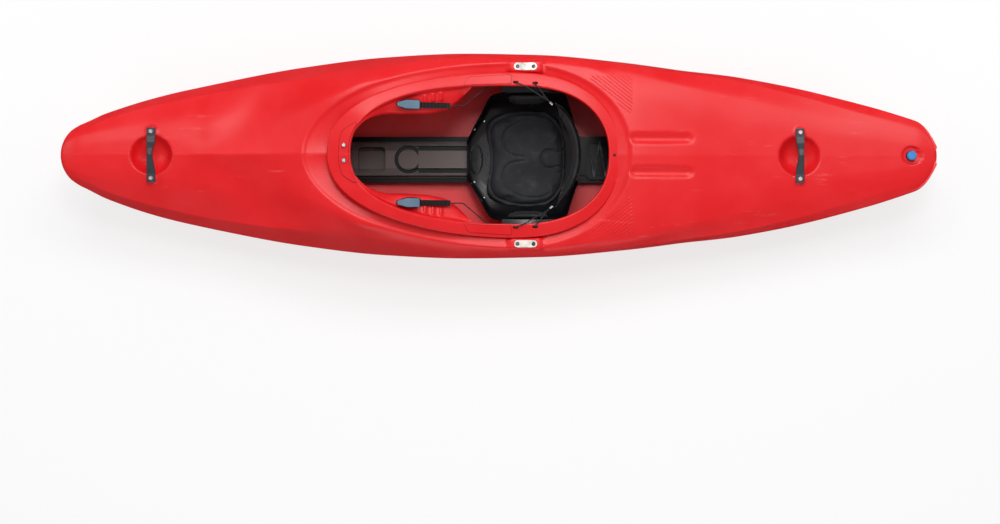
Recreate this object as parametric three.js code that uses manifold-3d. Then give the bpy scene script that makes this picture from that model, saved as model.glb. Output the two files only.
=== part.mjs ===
// Whitewater kayak, millimetres. The bow points along -X, +Z is up, and the origin lies under the
// middle of the hull, on the ground that its flat bottom stands on.
import * as THREE from 'three';
import { mergeVertices } from 'three/addons/utils/BufferGeometryUtils.js';
import Module from 'manifold-3d';

const wasm = await Module();
wasm.setup();

// Driving sizes of the boat
const hullLength = 2580;
const hullBeam = 610;
const hullDepth = 380; // ground to the top of the rim at its front
const hullWall = 6;
const fit = 0.3; // clearance between pieces that touch
const overrun = 20; // how far a cutting shape runs past what it cuts
const weld = 0.06; // corners closer than this are one
const tidyPasses = 4;

const ringSteps = 52; // points round the cockpit ovals
const roundSteps = 10; // sides of a small round piece
const bowlSteps = 14;
const boltSteps = 8;
const cornerSteps = 3;

// Hull lines: stations and values are shares, from bow tip to stern tip
const keelShares = [[0, 0.658], [0.035, 0.513], [0.076, 0.353], [0.115, 0.229], [0.155, 0.139],
  [0.195, 0.074], [0.235, 0.029], [0.285, 0], [0.525, 0], [0.588, 0.029], [0.653, 0.053],
  [0.718, 0.1], [0.785, 0.179], [0.851, 0.282], [0.919, 0.397], [1, 0.568]];
const sheerShares = [[0, 0.72], [0.038, 0.6], [0.068, 0.527], [0.107, 0.479], [0.17, 0.463],
  [0.306, 0.5], [0.396, 0.553], [0.467, 0.576], [0.54, 0.576], [0.631, 0.525], [0.693, 0.476],
  [0.8, 0.454], [0.88, 0.479], [0.936, 0.532], [1, 0.605]];
const ridgeShares = [[0, 0.757], [0.02, 0.762], [0.1, 0.747], [0.155, 0.776], [0.235, 0.842],
  [0.295, 0.905], [0.34, 0.918], [0.4, 0.908], [0.46, 0.86], [0.54, 0.79], [0.6, 0.738],
  [0.653, 0.728], [0.718, 0.684], [0.785, 0.634], [0.874, 0.605], [0.93, 0.615], [1, 0.647]];
const beamShares = [[0, 0.28], [0.046, 0.411], [0.114, 0.608], [0.183, 0.742], [0.274, 0.88],
  [0.365, 0.967], [0.46, 1], [0.548, 0.986], [0.639, 0.923], [0.731, 0.823], [0.822, 0.689],
  [0.89, 0.56], [0.959, 0.4], [1, 0.28]];
const floorShares = [[0, 0.45], [0.1, 0.52], [0.2, 0.64], [0.3, 0.73], [0.45, 0.77], [0.55, 0.77],
  [0.7, 0.72], [0.85, 0.6], [1, 0.5]];
// The side between chine and sheer: how far up it turns, and how far out it is there
const sideShares = [[0, 0.5, 0.75], [0.1, 0.7, 0.88], [0.23, 0.72, 0.88], [0.33, 0.55, 0.66],
  [0.7, 0.5, 0.66], [1, 0.5, 0.75]];
// The deck across: station, then out and up for its edge crease, its lower bend and its shoulder
const deckShares = [
  [0, 0.72, 0.6, 0.46, 0.86, 0.22, 0.97],
  [0.063, 0.82, 0.57, 0.52, 0.85, 0.26, 0.965],
  [0.107, 0.83, 0.53, 0.52, 0.82, 0.26, 0.955],
  [0.165, 0.85, 0.42, 0.4, 0.82, 0.17, 0.91],
  [0.2275, 0.843, 0.46, 0.67, 0.56, 0.33, 0.79],
  [0.27, 0.83, 0.54, 0.72, 0.64, 0.42, 0.88],
  [0.316, 0.85, 0.56, 0.76, 0.74, 0.56, 0.96],
  [0.345, 0.87, 0.56, 0.8, 0.74, 0.68, 0.93],
  [0.3826, 0.9, 0.5, 0.82, 0.7, 0.73, 0.82],
  [0.4189, 0.92, 0.42, 0.855, 0.58, 0.79, 0.68],
  [0.461, 0.94, 0.32, 0.9, 0.44, 0.85, 0.54],
  [0.54, 0.97, 0.22, 0.94, 0.36, 0.9, 0.46],
  [0.6, 0.965, 0.3, 0.92, 0.5, 0.88, 0.62],
  [0.653, 0.965, 0.36, 0.86, 0.68, 0.6, 0.88],
  [0.727, 0.95, 0.4, 0.76, 0.78, 0.42, 0.94],
  [0.8, 0.91, 0.43, 0.67, 0.8, 0.36, 0.95],
  [0.854, 0.87, 0.46, 0.59, 0.82, 0.32, 0.96],
  [0.92, 0.8, 0.55, 0.56, 0.82, 0.3, 0.96],
  [1, 0.75, 0.6, 0.5, 0.86, 0.25, 0.97]];
const chineWidth = 12; // the narrow bevel between floor and side
const chineHeight = 17;
const capLength = 62; // the rounded last stretch of each end
const capSteps = 5;
const tipShare = 0.25; // the first station lies this share of a step in from the very tip
const stationPitch = 72; // between the skin's stations
const voidPitch = 120; // between the hollow's stations
const solidTip = 48; // each end is solid plastic this far in

// Value at a station between hand-chosen rows, smooth and with no overshoot
function along(rows, at, column = 1) {
  const last = rows.length - 1;
  if (at <= rows[0][0]) return rows[0][column];
  if (at >= rows[last][0]) return rows[last][column];
  let row = 0;
  while (at > rows[row + 1][0]) row += 1;
  const slope = (k) => (rows[k + 1][column] - rows[k][column]) / (rows[k + 1][0] - rows[k][0]);
  const tangent = (k) => {
    if (k === 0) return slope(0);
    if (k === last) return slope(last - 1);
    const product = slope(k - 1) * slope(k);
    return product <= 0 ? 0 : 2 * product / (slope(k - 1) + slope(k));
  };
  const span = rows[row + 1][0] - rows[row][0];
  const u = (at - rows[row][0]) / span;
  const start = rows[row][column];
  const end = rows[row + 1][column];
  return start * (1 + 2 * u) * (1 - u) ** 2 + tangent(row) * span * u * (1 - u) ** 2
    + end * u * u * (3 - 2 * u) - tangent(row + 1) * span * u * u * (1 - u);
}

const stationAt = (x) => x / hullLength + 1 / 2;
const placeAt = (station) => (station - 1 / 2) * hullLength;
const range = (count) => Array.from({ length: count }, (_, k) => k);
const ramp = (from, to, steps) => range(steps + 1).map((k) => from + (to - from) * k / steps);

// The lines of the hull at one station, in millimetres
function hullLines(station) {
  const half = along(beamShares, station) * hullBeam / 2;
  const sheer = along(sheerShares, station) * hullDepth;
  const ridge = along(ridgeShares, station) * hullDepth;
  const out = (column) => along(deckShares, station, column) * half;
  const up = (column) => sheer + along(deckShares, station, column) * (ridge - sheer);
  return {
    half,
    sheer,
    ridge,
    keel: along(keelShares, station) * hullDepth,
    floorHalf: along(floorShares, station) * half,
    sideUp: along(sideShares, station, 1),
    sideOut: along(sideShares, station, 2),
    deck: [[0, ridge], [out(5), up(6)], [out(3), up(4)], [out(1), up(2)], [half, sheer]],
  };
}

// Height of the deck's outer skin over a place in plan
const deckHeight = (x, y) => along(hullLines(stationAt(x)).deck, Math.abs(y));

const deckSpreadShares = [1, 0.87, 0.74, 0.6, 0.45, 0.3, 0.15, 0];
const hollowSpreadShares = [1, 0.8, 0.6, 0.35, 0];

// One half of the hull's section, from the middle of the floor round to the middle of the deck,
// moved inwards by an inset
function halfSection(x, inset) {
  const station = stationAt(x);
  const line = hullLines(station);
  const chineY = line.floorHalf + chineWidth;
  const chineZ = line.keel + chineHeight;
  const crease = line.deck[3][0];
  const points = [
    [0, line.keel],
    [line.floorHalf, line.keel],
    [chineY, chineZ],
    [chineY + (line.half - chineY) * line.sideOut, chineZ + (line.sheer - chineZ) * line.sideUp],
    [line.half, line.sheer],
    ...(inset === 0 ? deckSpreadShares : hollowSpreadShares)
      .map((share) => [crease * share, along(line.deck, crease * share)]),
  ];
  const distance = hullLength / 2 - Math.abs(x);
  const roundness = Math.sqrt(1 - (1 - Math.min(1, distance / capLength)) ** 2);
  const middle = (line.keel + line.ridge) / 2;
  const rounded = points.map(([y, z]) => [y * roundness, middle + (z - middle) * roundness]);
  return inset === 0 ? rounded : insetOutline(rounded, inset);
}

// Moves an open outline inwards by the mean normal of the two lines that meet at each point; its
// first and last points stay on the middle plane
function insetOutline(points, inset) {
  const last = points.length - 1;
  const normal = (k) => {
    const dy = points[k + 1][0] - points[k][0];
    const dz = points[k + 1][1] - points[k][1];
    const size = Math.hypot(dy, dz);
    return [-dz / size, dy / size];
  };
  return points.map(([y, z], k) => {
    if (k === 0) return [0, z + inset];
    if (k === last) return [0, z - inset];
    const [ay, az] = normal(k - 1);
    const [by, bz] = normal(k);
    const share = inset / (1 + ay * by + az * bz);
    return [y + (ay + by) * share, z + (az + bz) * share];
  });
}

// A full ring of points at one station
function hullRing(x, inset) {
  const half = halfSection(x, inset);
  const other = half.slice(1, -1).reverse().map(([y, z]) => [-y, z]);
  return [...half, ...other].map(([y, z]) => new THREE.Vector3(x, y, z));
}

// Builds a geometry from points and triangles, with its faces pointing out
function skin(points, faces) {
  const volume = faces.reduce((sum, [a, b, c]) => sum
    + points[a].dot(new THREE.Vector3().crossVectors(points[b], points[c])), 0);
  const outward = volume < 0 ? faces.map(([a, b, c]) => [a, c, b]) : faces;
  const geometry = new THREE.BufferGeometry().setFromPoints(points);
  geometry.setIndex(outward.flat());
  return geometry;
}

// Side faces between rings that all have as many points
function sideFaces(ringCount, pointCount, looped) {
  const faces = [];
  for (let ring = 0; ring < (looped ? ringCount : ringCount - 1); ring += 1) {
    const here = ring * pointCount;
    const there = (ring + 1) % ringCount * pointCount;
    for (let k = 0; k < pointCount; k += 1) {
      const next = (k + 1) % pointCount;
      faces.push([here + k, here + next, there + next], [here + k, there + next, there + k]);
    }
  }
  return faces;
}

// A closed body over a row of rings, each end closed by a fan round the ring's own middle
function loft(rings) {
  const count = rings[0].length;
  const last = rings.length - 1;
  const middle = (ring) => ring.reduce((sum, point) => sum.add(point), new THREE.Vector3())
    .divideScalar(count);
  const points = [...rings.flat(), middle(rings[0]), middle(rings[last])];
  const start = rings.length * count;
  const faces = sideFaces(rings.length, count, false);
  for (let k = 0; k < count; k += 1) {
    const next = (k + 1) % count;
    faces.push([start, next, k], [start + 1, last * count + k, last * count + next]);
  }
  return skin(points, faces);
}

// A closed body over rings that run round in a loop
const loopLoft = (rings) => skin(rings.flat(), sideFaces(rings.length, rings[0].length, true));

function solidOf(geometry) {
  const bare = geometry.clone();
  bare.deleteAttribute('normal');
  bare.deleteAttribute('uv');
  const merged = mergeVertices(bare);
  return new wasm.Manifold(new wasm.Mesh({
    numProp: 3,
    vertProperties: new Float32Array(merged.attributes.position.array),
    triVerts: new Uint32Array(merged.index.array),
  }));
}

// Joins the corners of every side shorter than the weld
function weldShortSides(points, faces) {
  const home = points.map((_, k) => k);
  const rootOf = (k) => (home[k] === k ? k : rootOf(home[k]));
  for (const face of faces) {
    face.forEach((corner, k) => {
      const next = face[(k + 1) % 3];
      if (points[corner].distanceTo(points[next]) < weld) home[rootOf(corner)] = rootOf(next);
    });
  }
  return faces.map((face) => face.map(rootOf))
    .filter(([a, b, c]) => a !== b && b !== c && a !== c);
}

// Where a triangle's third corner lies almost on its longest side, that side swaps to its neighbour
function swapLongSides(points, faces) {
  const owner = new Map();
  faces.forEach((face, k) => face.forEach((corner, j) => owner.set(`${corner} ${face[(j + 1) % 3]}`, k)));
  const changed = new Set();
  faces.forEach((face, k) => {
    const sides = face.map((corner, j) => points[corner].distanceTo(points[face[(j + 1) % 3]]));
    const j = sides.indexOf(Math.max(...sides));
    const [a, b, c] = [face[j], face[(j + 1) % 3], face[(j + 2) % 3]];
    const twiceArea = points[b].clone().sub(points[a]).cross(points[c].clone().sub(points[a])).length();
    const other = owner.get(`${b} ${a}`);
    if (twiceArea / sides[j] > weld / 2 || changed.has(k) || changed.has(other)) return;
    const d = faces[other].find((corner) => corner !== a && corner !== b);
    if (owner.has(`${c} ${d}`) || owner.has(`${d} ${c}`)) return;
    faces[k] = [a, d, c];
    faces[other] = [c, d, b];
    changed.add(k).add(other);
  });
  return changed.size > 0;
}

// The geometry of a cut or joined body, without the slivers that cuts leave
function geometryOf(solid) {
  const mesh = solid.getMesh();
  const points = range(mesh.vertProperties.length / 3)
    .map((k) => new THREE.Vector3().fromArray(mesh.vertProperties, 3 * k));
  let faces = range(mesh.triVerts.length / 3).map((k) => [...mesh.triVerts.slice(3 * k, 3 * k + 3)]);
  faces = weldShortSides(points, faces);
  for (let pass = 0; pass < tidyPasses && swapLongSides(points, faces); pass += 1);
  const geometry = new THREE.BufferGeometry().setFromPoints(points);
  geometry.setIndex(faces.flat());
  geometry.computeVertexNormals();
  return geometry;
}

// Cockpit ovals seen from above: a nose and a tail half on one widest line
const rimMiddle = placeAt(0.5155);
const rimHalfShare = 0.3984;
const rimNoseShare = 0.2093;
const rimTailShare = 0.1209;
const bandWidth = { side: 41, nose: 69, tail: 34 };
const dishMargin = { side: 23, nose: 68, tail: 30 };
const rimOval = { halfWidth: rimHalfShare * hullBeam, nose: rimNoseShare * hullLength,
  tail: rimTailShare * hullLength, noseShare: 2, tailShare: 2.3, sideShare: 2.25 };
const mouthOval = { halfWidth: rimOval.halfWidth - bandWidth.side, nose: rimOval.nose - bandWidth.nose,
  tail: rimOval.tail - bandWidth.tail, noseShare: 2.5, tailShare: 2.4, sideShare: 2.3 };
const dishOval = { halfWidth: rimOval.halfWidth + dishMargin.side, nose: rimOval.nose + dishMargin.nose,
  tail: rimOval.tail + dishMargin.tail, noseShare: 2, tailShare: 2.2, sideShare: 2 };
const power = (value, share) => Math.sign(value) * Math.abs(value) ** (2 / share);

function ovalPoint(oval, turn) {
  const c = Math.cos(turn);
  const along = c < 0 ? oval.nose * power(c, oval.noseShare) : oval.tail * power(c, oval.tailShare);
  return [rimMiddle + along, oval.halfWidth * power(Math.sin(turn), oval.sideShare)];
}

// Height of the rim's band along the boat, and its fall from the mouth to the lip
const rimShares = [[0.306, 0.979], [0.329, 0.995], [0.349, 0.992], [0.365, 0.966], [0.405, 0.897],
  [0.43, 0.845], [0.467, 0.778], [0.493, 0.75], [0.547, 0.729], [0.594, 0.726], [0.633, 0.718]];
const bandFall = 10;
const bandThickness = 7;
const lipHeight = 15;
const lipRound = 5;
const lipOverhang = 22;
const mouthDrop = 18; // the turned-down inner edge
const dishDepth = 14; // the dish under the lip, below the deck's crest
const dishStep = 5;

// A place on the rim: run from mouth to lip, in millimetres from the mouth, and height over the band
function rimPlace(turn, run, height) {
  const [mx, my] = ovalPoint(mouthOval, turn);
  const [lx, ly] = ovalPoint(rimOval, turn);
  const width = Math.hypot(lx - mx, ly - my);
  const share = run / width;
  const x = mx + (lx - mx) * share;
  const band = along(rimShares, stationAt(x)) * hullDepth - bandFall * Math.max(0, share);
  return new THREE.Vector3(x, my + (ly - my) * share, band + height);
}

function rimWidth(turn) {
  const [mx, my] = ovalPoint(mouthOval, turn);
  const [lx, ly] = ovalPoint(rimOval, turn);
  return Math.hypot(lx - mx, ly - my);
}

// Half the mouth's width, and the band's height, at a place along the boat
function mouthHalfWidth(x) {
  const c = (x - rimMiddle) / (x < rimMiddle ? mouthOval.nose : mouthOval.tail);
  const share = x < rimMiddle ? mouthOval.noseShare : mouthOval.tailShare;
  return mouthOval.halfWidth * (1 - Math.abs(c) ** share) ** (1 / mouthOval.sideShare);
}

const bandHeight = (x) => along(rimShares, stationAt(x)) * hullDepth;

const turns = range(ringSteps).map((k) => 2 * Math.PI * k / ringSteps);

// Height of the dish floor beside the rim's wall
function dishFloor(turn) {
  const [x, y] = ovalPoint(dishOval, turn);
  return deckHeight(x, y) - dishDepth;
}

function rimRing(turn) {
  const width = rimWidth(turn);
  const wallOut = width - lipOverhang;
  const wallIn = wallOut - hullWall;
  const outline = [[0, -mouthDrop], [0, -lipRound], [lipRound, 0], [width - lipRound, 0],
    [width, -lipRound], [width, lipRound - lipHeight], [width - lipRound, -lipHeight],
    [wallOut, -lipHeight]];
  const inner = [[wallIn, -bandThickness], [bandThickness, -bandThickness], [bandThickness, -mouthDrop]];
  const foot = dishFloor(turn) - hullWall / 2;
  const outFoot = rimPlace(turn, wallOut, 0).setZ(foot);
  const inFoot = rimPlace(turn, wallIn, 0).setZ(foot);
  return [...outline.map(([run, up]) => rimPlace(turn, run, up)), outFoot, inFoot,
    ...inner.map(([run, up]) => rimPlace(turn, run, up))];
}

const rimBody = solidOf(loopLoft(turns.map(rimRing)));

// The space over the dish that rings the cockpit; grown by the wall, it keeps the skin whole below
function dishSpace(grown) {
  const top = hullDepth + overrun;
  const wallRing = turns.map((turn) => rimPlace(turn, rimWidth(turn) - lipOverhang, 0)
    .setZ(dishFloor(turn) - grown));
  const middle = new THREE.Vector3(rimMiddle, 0, 0);
  const coreRing = wallRing.map((point) => point.clone().lerp(middle, 1 / 2).setZ(point.z));
  const edgeRing = turns.map((turn) => {
    const [x, y] = ovalPoint(dishOval, turn);
    const away = new THREE.Vector3(x - rimMiddle, y, 0).setLength(grown);
    return new THREE.Vector3(x, y, deckHeight(x, y) - dishStep - grown).add(away);
  });
  const lidRing = edgeRing.map((point) => point.clone().setZ(top));
  const lidCore = coreRing.map((point) => point.clone().setZ(top));
  return solidOf(loft([coreRing, wallRing, edgeRing, lidRing, lidCore]));
}

// The cockpit opening through the deck, inside the rim's wall
function cockpitSpace() {
  const ring = (height) => turns.map((turn) => {
    const place = rimPlace(turn, rimWidth(turn) - lipOverhang - hullWall, 0);
    return place.setZ(height === 0 ? dishFloor(turn) - 2 * overrun : height);
  });
  return solidOf(loft([ring(0), ring(hullDepth + overrun)]));
}

function hullStations(setback, pitch) {
  const end = hullLength / 2;
  const cap = range(capSteps).map((k) => end
    - capLength * (1 - Math.cos((k + tipShare) / (capSteps - 1 + tipShare) * Math.PI / 2)));
  const inner = ramp(-end + capLength, end - capLength, Math.round((hullLength - 2 * capLength) / pitch));
  const all = [...cap.map((x) => -x), ...inner.slice(1, -1), ...cap.reverse()];
  return all.filter((x) => Math.abs(x) <= end - setback);
}

const keelAt = (x) => along(keelShares, stationAt(x)) * hullDepth;

// Simple bodies
function box(x0, x1, y0, y1, z0, z1) {
  return new THREE.BoxGeometry(x1 - x0, y1 - y0, z1 - z0)
    .translate((x0 + x1) / 2, (y0 + y1) / 2, (z0 + z1) / 2);
}

function post(radius, bottom, top, x, y) {
  return new THREE.CylinderGeometry(radius, radius, top - bottom, roundSteps)
    .rotateX(Math.PI / 2).translate(x, y, (bottom + top) / 2);
}

function crossPost(radius, near, far, x, z) {
  return new THREE.CylinderGeometry(radius, radius, Math.abs(far - near), roundSteps)
    .translate(x, (near + far) / 2, z);
}

// Round tools whose flats clear the radius, for holes
const clearRadius = (radius) => radius / Math.cos(Math.PI / roundSteps);
const bore = (radius, ...place) => post(clearRadius(radius), ...place);
const crossBore = (radius, ...place) => crossPost(clearRadius(radius), ...place);

// A plan outline raised from one height to another
function plate(outline, bottom, top) {
  const shape = new THREE.Shape(outline.map(([x, y]) => new THREE.Vector2(x, y)));
  return new THREE.ExtrudeGeometry(shape, { depth: top - bottom, bevelEnabled: false })
    .translate(0, 0, bottom);
}

// A plan rectangle with round corners
function roundedOutline(x0, x1, y0, y1, radius) {
  const corners = [[x1 - radius, y1 - radius], [x0 + radius, y1 - radius], [x0 + radius, y0 + radius],
    [x1 - radius, y0 + radius]];
  return corners.flatMap(([x, y], quarter) => range(cornerSteps + 1).map((k) => {
    const turn = (quarter + k / cornerSteps) * Math.PI / 2;
    return [x + radius * Math.cos(turn), y + radius * Math.sin(turn)];
  }));
}

// A side outline, x and z, given a width across the boat
function sidePlate(outline, near, far) {
  const shape = new THREE.Shape(outline.map(([x, z]) => new THREE.Vector2(x, z)));
  return new THREE.ExtrudeGeometry(shape, { depth: far - near, bevelEnabled: false })
    .rotateX(Math.PI / 2).translate(0, far, 0);
}

// A bolt standing on z = 0: low round head above, shank below
function boltGeometry({ headRadius, headHeight, shankRadius, shankLength }) {
  const profile = [[0, -shankLength], [shankRadius, -shankLength], [shankRadius, 0],
    [headRadius, 0], [headRadius, headHeight / 2], [headRadius * 3 / 4, headHeight], [0, headHeight]];
  return new THREE.LatheGeometry(profile.map(([r, z]) => new THREE.Vector2(r, z)), boltSteps)
    .rotateX(Math.PI / 2);
}

// A round cord or rod along a curve through hand-chosen points
function rod(points, radius, steps, sides) {
  const path = new THREE.CatmullRomCurve3(points.map((point) => new THREE.Vector3(...point)));
  const round = new THREE.Shape(range(sides).map((k) => new THREE.Vector2(
    radius * Math.cos(2 * Math.PI * k / sides), radius * Math.sin(2 * Math.PI * k / sides))));
  return new THREE.ExtrudeGeometry(round, { steps, bevelEnabled: false, extrudePath: path });
}

const cut = (body, ...tools) => tools.reduce((left, tool) => left.subtract(tool), body);
const join = (...bodies) => bodies.reduce((whole, body) => whole.add(body));

// Grab handles: a strap-like bar over a round bowl in the deck
const handle = {
  span: 137, endLength: 11.5, endWidth: 26, waist: 16, endThickness: 7, middleThickness: 11,
  arch: 20, shoulder: 14, bowlRadius: 64, bowlRise: 20, padRadius: 14, padRise: 4.5, padRoot: 11,
};
const handleBolt = { headRadius: 7.5, headHeight: 4.5, shankRadius: 3, shankLength: 21 };
const handleStations = { bow: placeAt(0.1039), stern: placeAt(0.843) };
const boltPlay = 0.4;

// Drain plug in the stern deck
const drain = {
  x: placeAt(0.9702), dishRadius: 26, dishDepth: 6, sleeveRadius: 11, sleeveLip: 15.5,
  lipHeight: 2, sleeveDepth: 13, threadRadius: 7.6, plugRadius: 7, plugDepth: 11,
  capRadius: 14, capHeight: 13, gripDepth: 1.4, grips: 6, gasketHeight: 2,
};

// Flutes in the rear deck
const flute = { front: placeAt(0.6531), rear: placeAt(0.714), y: 50, radius: 19, depth: 8 };

// Centre rail on the hull's floor, from under the foredeck to the stern pillar
const flangeShare = 0.07368;
const railTopShare = 0.13684;
const rail = {
  front: placeAt(0.2849), rear: placeAt(2 / 3), halfWidth: 70.5, flangeTop: flangeShare * hullDepth,
  top: railTopShare * hullDepth, topHalf: 49, noseLength: 60,
  pocketFront: -436, pocketRear: -352, pocketHalf: 38, pocketDepth: 34, pocketCorner: 12,
  keyX: -281, keyOuter: 43, keyInner: 32, keyDepth: 9, neckOuter: 41, neckInner: 27, neckRear: -105,
  stepX: -212, stepWidth: 3, stepDepth: 2,
};

// Raised blocks beside the rim that carry the steel side plates
const sidePlateOffset = { aft: 34, out: 17.5 };
const blockMargin = { end: 48, inner: 14, outer: 15.5 };
const sidePlateSize = { x: rimMiddle + sidePlateOffset.aft, y: rimOval.halfWidth + sidePlateOffset.out,
  length: 68, width: 21, thickness: 2.5, boltPitch: 47 };
const block = { front: sidePlateSize.x - blockMargin.end, rear: sidePlateSize.x + blockMargin.end,
  inner: sidePlateSize.y - blockMargin.inner, outer: sidePlateSize.y + blockMargin.outer, rise: 6,
  corner: 8 };

// Seat: a moulded bucket on the rail, hung from the blocks by an ear on each side
const lugTopShare = 0.42105;
const earTopShare = 0.60789;
const seat = {
  wall: 5, bottom: rail.top + fit, lugX: 226, lugLength: 24, lugInner: 51, lugWall: 6,
  lugTop: lugTopShare * hullDepth, earFront: 4, earRear: 144, earReach: sidePlateSize.y + blockMargin.outer,
  earTop: earTopShare * hullDepth, earThickness: 4, slotFront: 15, slotRear: 133, slotHalf: 4.5, lipOut: 6,
};
const sideBolt = { headRadius: 6, headHeight: 3, shankRadius: 3, shankLength: 44 };

// Footrest bolts through the hull's sides
const footBolt = { headRadius: 8, headHeight: 4, shankRadius: 4, shankLength: 32 };
const footSeatShare = 0.385; // of the beam, out from the middle to the footrest bolts' heads
const footMiddleShare = 0.36842;
const footBoltPlace = { x: placeAt(0.257), z: footMiddleShare * hullDepth, seat: footSeatShare * hullBeam,
  bossRadius: 14, bossDepth: 11, pocketRadius: 10 };

// Plate over the rim's front, and the panels let into its sides
const rimBoltSetback = 18;
const rimPanelSetback = 10;
const rimPlate = { firstStep: 23, lastStep: 29, reach: 34, endReach: 14, inset: 0.5, lift: 0.9,
  thickness: 2, boltX: rimMiddle - mouthOval.nose - rimBoltSetback, boltY: 22 };
const rimBolt = { headRadius: 6.5, headHeight: 3.5, shankRadius: 2.5, shankLength: 16 };
const rimPanel = { firstStep: 13, lastStep: 15, rear: rimMiddle - rimPanelSetback, inset: 2, lift: 0.97,
  thickness: 1.4 };

const blockTop = deckHeight(sidePlateSize.x, dishOval.halfWidth) + block.rise;

function bowl(x, grown) {
  const height = deckHeight(x, 0) + handle.bowlRise;
  return solidOf(new THREE.SphereGeometry(handle.bowlRadius + grown, bowlSteps, bowlSteps / 2)
    .rotateX(Math.PI / 2).translate(x, 0, height));
}

function fluteSpace(side, grown) {
  const radius = flute.radius + grown;
  const ends = [flute.front, flute.rear].map((x) => new THREE.Vector3(x, side * flute.y,
    deckHeight(x, flute.y) + flute.radius - flute.depth));
  const length = ends[0].distanceTo(ends[1]);
  const lean = new THREE.Quaternion().setFromUnitVectors(new THREE.Vector3(0, 1, 0),
    ends[1].clone().sub(ends[0]).normalize());
  const middle = ends[0].clone().lerp(ends[1], 1 / 2);
  return solidOf(new THREE.CapsuleGeometry(radius, length, 2, roundSteps)
    .applyQuaternion(lean).translate(middle.x, middle.y, middle.z));
}

function drainDish(grown) {
  const floor = deckHeight(drain.x, 0) - drain.dishDepth;
  return solidOf(post(drain.dishRadius + grown, floor - grown, hullDepth, drain.x, 0));
}

const sides = [-1, 1];

// The hollow of the hull: the inset skin without the walls of all that is sunk into the deck
function hullCavity(play) {
  const hollow = solidOf(loft(hullStations(solidTip, voidPitch).map((x) => hullRing(x, hullWall + play))));
  return cut(hollow, dishSpace(hullWall + play), drainDish(hullWall + play),
    ...Object.values(handleStations).map((x) => bowl(x, hullWall + play)),
    ...sides.map((side) => fluteSpace(side, hullWall + play)));
}

const handlePadTop = (x) => Math.max(deckHeight(x, handle.span / 2) + handle.padRise,
  deckHeight(x, handle.span / 2 - handle.shoulder) + fit);
const slotAft = 1;
const slotFirst = rimMiddle + slotAft; // where the backrest cords pass the rim
const slotPitch = 57;
const slotPlaces = [slotFirst, slotFirst + slotPitch];
const slotRadius = 4.2;
const slotInset = 10.5; // from the mouth's edge

const rimBoltHole = (side) => solidOf(bore(rimBolt.shankRadius + boltPlay, hullDepth - 2 * overrun,
  hullDepth + overrun, rimPlate.boltX, side * rimPlate.boltY));

function makeHull() {
  const outer = solidOf(loft(hullStations(0, stationPitch).map((x) => hullRing(x, 0))));
  const carved = cut(outer, dishSpace(0), drainDish(0),
    ...Object.values(handleStations).map((x) => bowl(x, 0)),
    ...sides.map((side) => fluteSpace(side, 0)));
  let shell = cut(carved, hullCavity(0), cockpitSpace());
  shell = join(shell, rimBody);
  for (const side of sides) {
    const rows = [side * block.inner, side * block.outer].sort((a, b) => a - b);
    shell = shell.add(solidOf(plate(roundedOutline(block.front, block.rear, ...rows, block.corner),
      seat.earTop + fit, blockTop)));
    const { x, z, seat: boltSeat, bossRadius, bossDepth, pocketRadius } = footBoltPlace;
    const boss = solidOf(crossPost(bossRadius, side * (boltSeat - bossDepth), side * (boltSeat + overrun),
      x, z));
    shell = shell.add(boss.intersect(outer))
      .subtract(solidOf(crossPost(pocketRadius, side * boltSeat, side * (boltSeat + 2 * overrun), x, z)))
      .subtract(solidOf(crossBore(footBolt.shankRadius + boltPlay, side * (boltSeat - 2 * bossDepth),
        side * (boltSeat + overrun), x, z)));
    for (const end of sides) {
      const boltX = sidePlateSize.x + end * sidePlateSize.boltPitch / 2;
      shell = shell.subtract(solidOf(bore(sideBolt.shankRadius + boltPlay, seat.earTop - overrun,
        blockTop + overrun, boltX, side * sidePlateSize.y)));
    }
    for (const x of slotPlaces) {
      const y = side * (mouthHalfWidth(x) + slotInset);
      shell = shell.subtract(solidOf(bore(slotRadius, bandHeight(x) - 2 * overrun,
        bandHeight(x) + overrun, x, y)));
    }
  }
  for (const x of Object.values(handleStations)) {
    for (const side of sides) {
      const y = side * handle.span / 2;
      const top = handlePadTop(x);
      shell = shell.add(solidOf(post(handle.padRadius, top - handle.padRoot, top, x, y)))
        .subtract(solidOf(bore(handleBolt.shankRadius + boltPlay, top - 2 * handle.padRoot,
          top + overrun, x, y)));
    }
  }
  return cut(shell, ...sides.map(rimBoltHole), solidOf(bore(drain.sleeveRadius + fit,
    deckHeight(drain.x, 0) - drain.dishDepth - drain.sleeveDepth - hullWall, hullDepth, drain.x, 0)));
}

const paint = (color, roughness, metalness) => new THREE.MeshStandardMaterial({ color, roughness,
  metalness });
const redPlastic = paint(0xdf1219, 0.42, 0);
const blackPlastic = paint(0x17181b, 0.5, 0);
const greyPlastic = paint(0x4a4b4e, 0.6, 0);
const steel = paint(0xc9cbcd, 0.3, 1);
const bluePlastic = paint(0x2f7fc4, 0.45, 0);
const blackRubber = paint(0x101113, 0.8, 0);
const foam = paint(0x2a2b2e, 0.95, 0);
const fabric = paint(0x1b1c20, 0.85, 0);
const aluminium = paint(0xb4b7ba, 0.4, 1);
const slatePlastic = paint(0x6f8494, 0.4, 0);
const cordFabric = paint(0x131416, 0.85, 0);
const sideName = (side) => (side < 0 ? 'port' : 'starboard');

const group = new THREE.Group();

function put(name, geometry, material) {
  const mesh = new THREE.Mesh(geometry, material);
  mesh.name = name;
  group.add(mesh);
  return mesh;
}

put('hull_shell', geometryOf(makeHull()), redPlastic);

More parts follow.
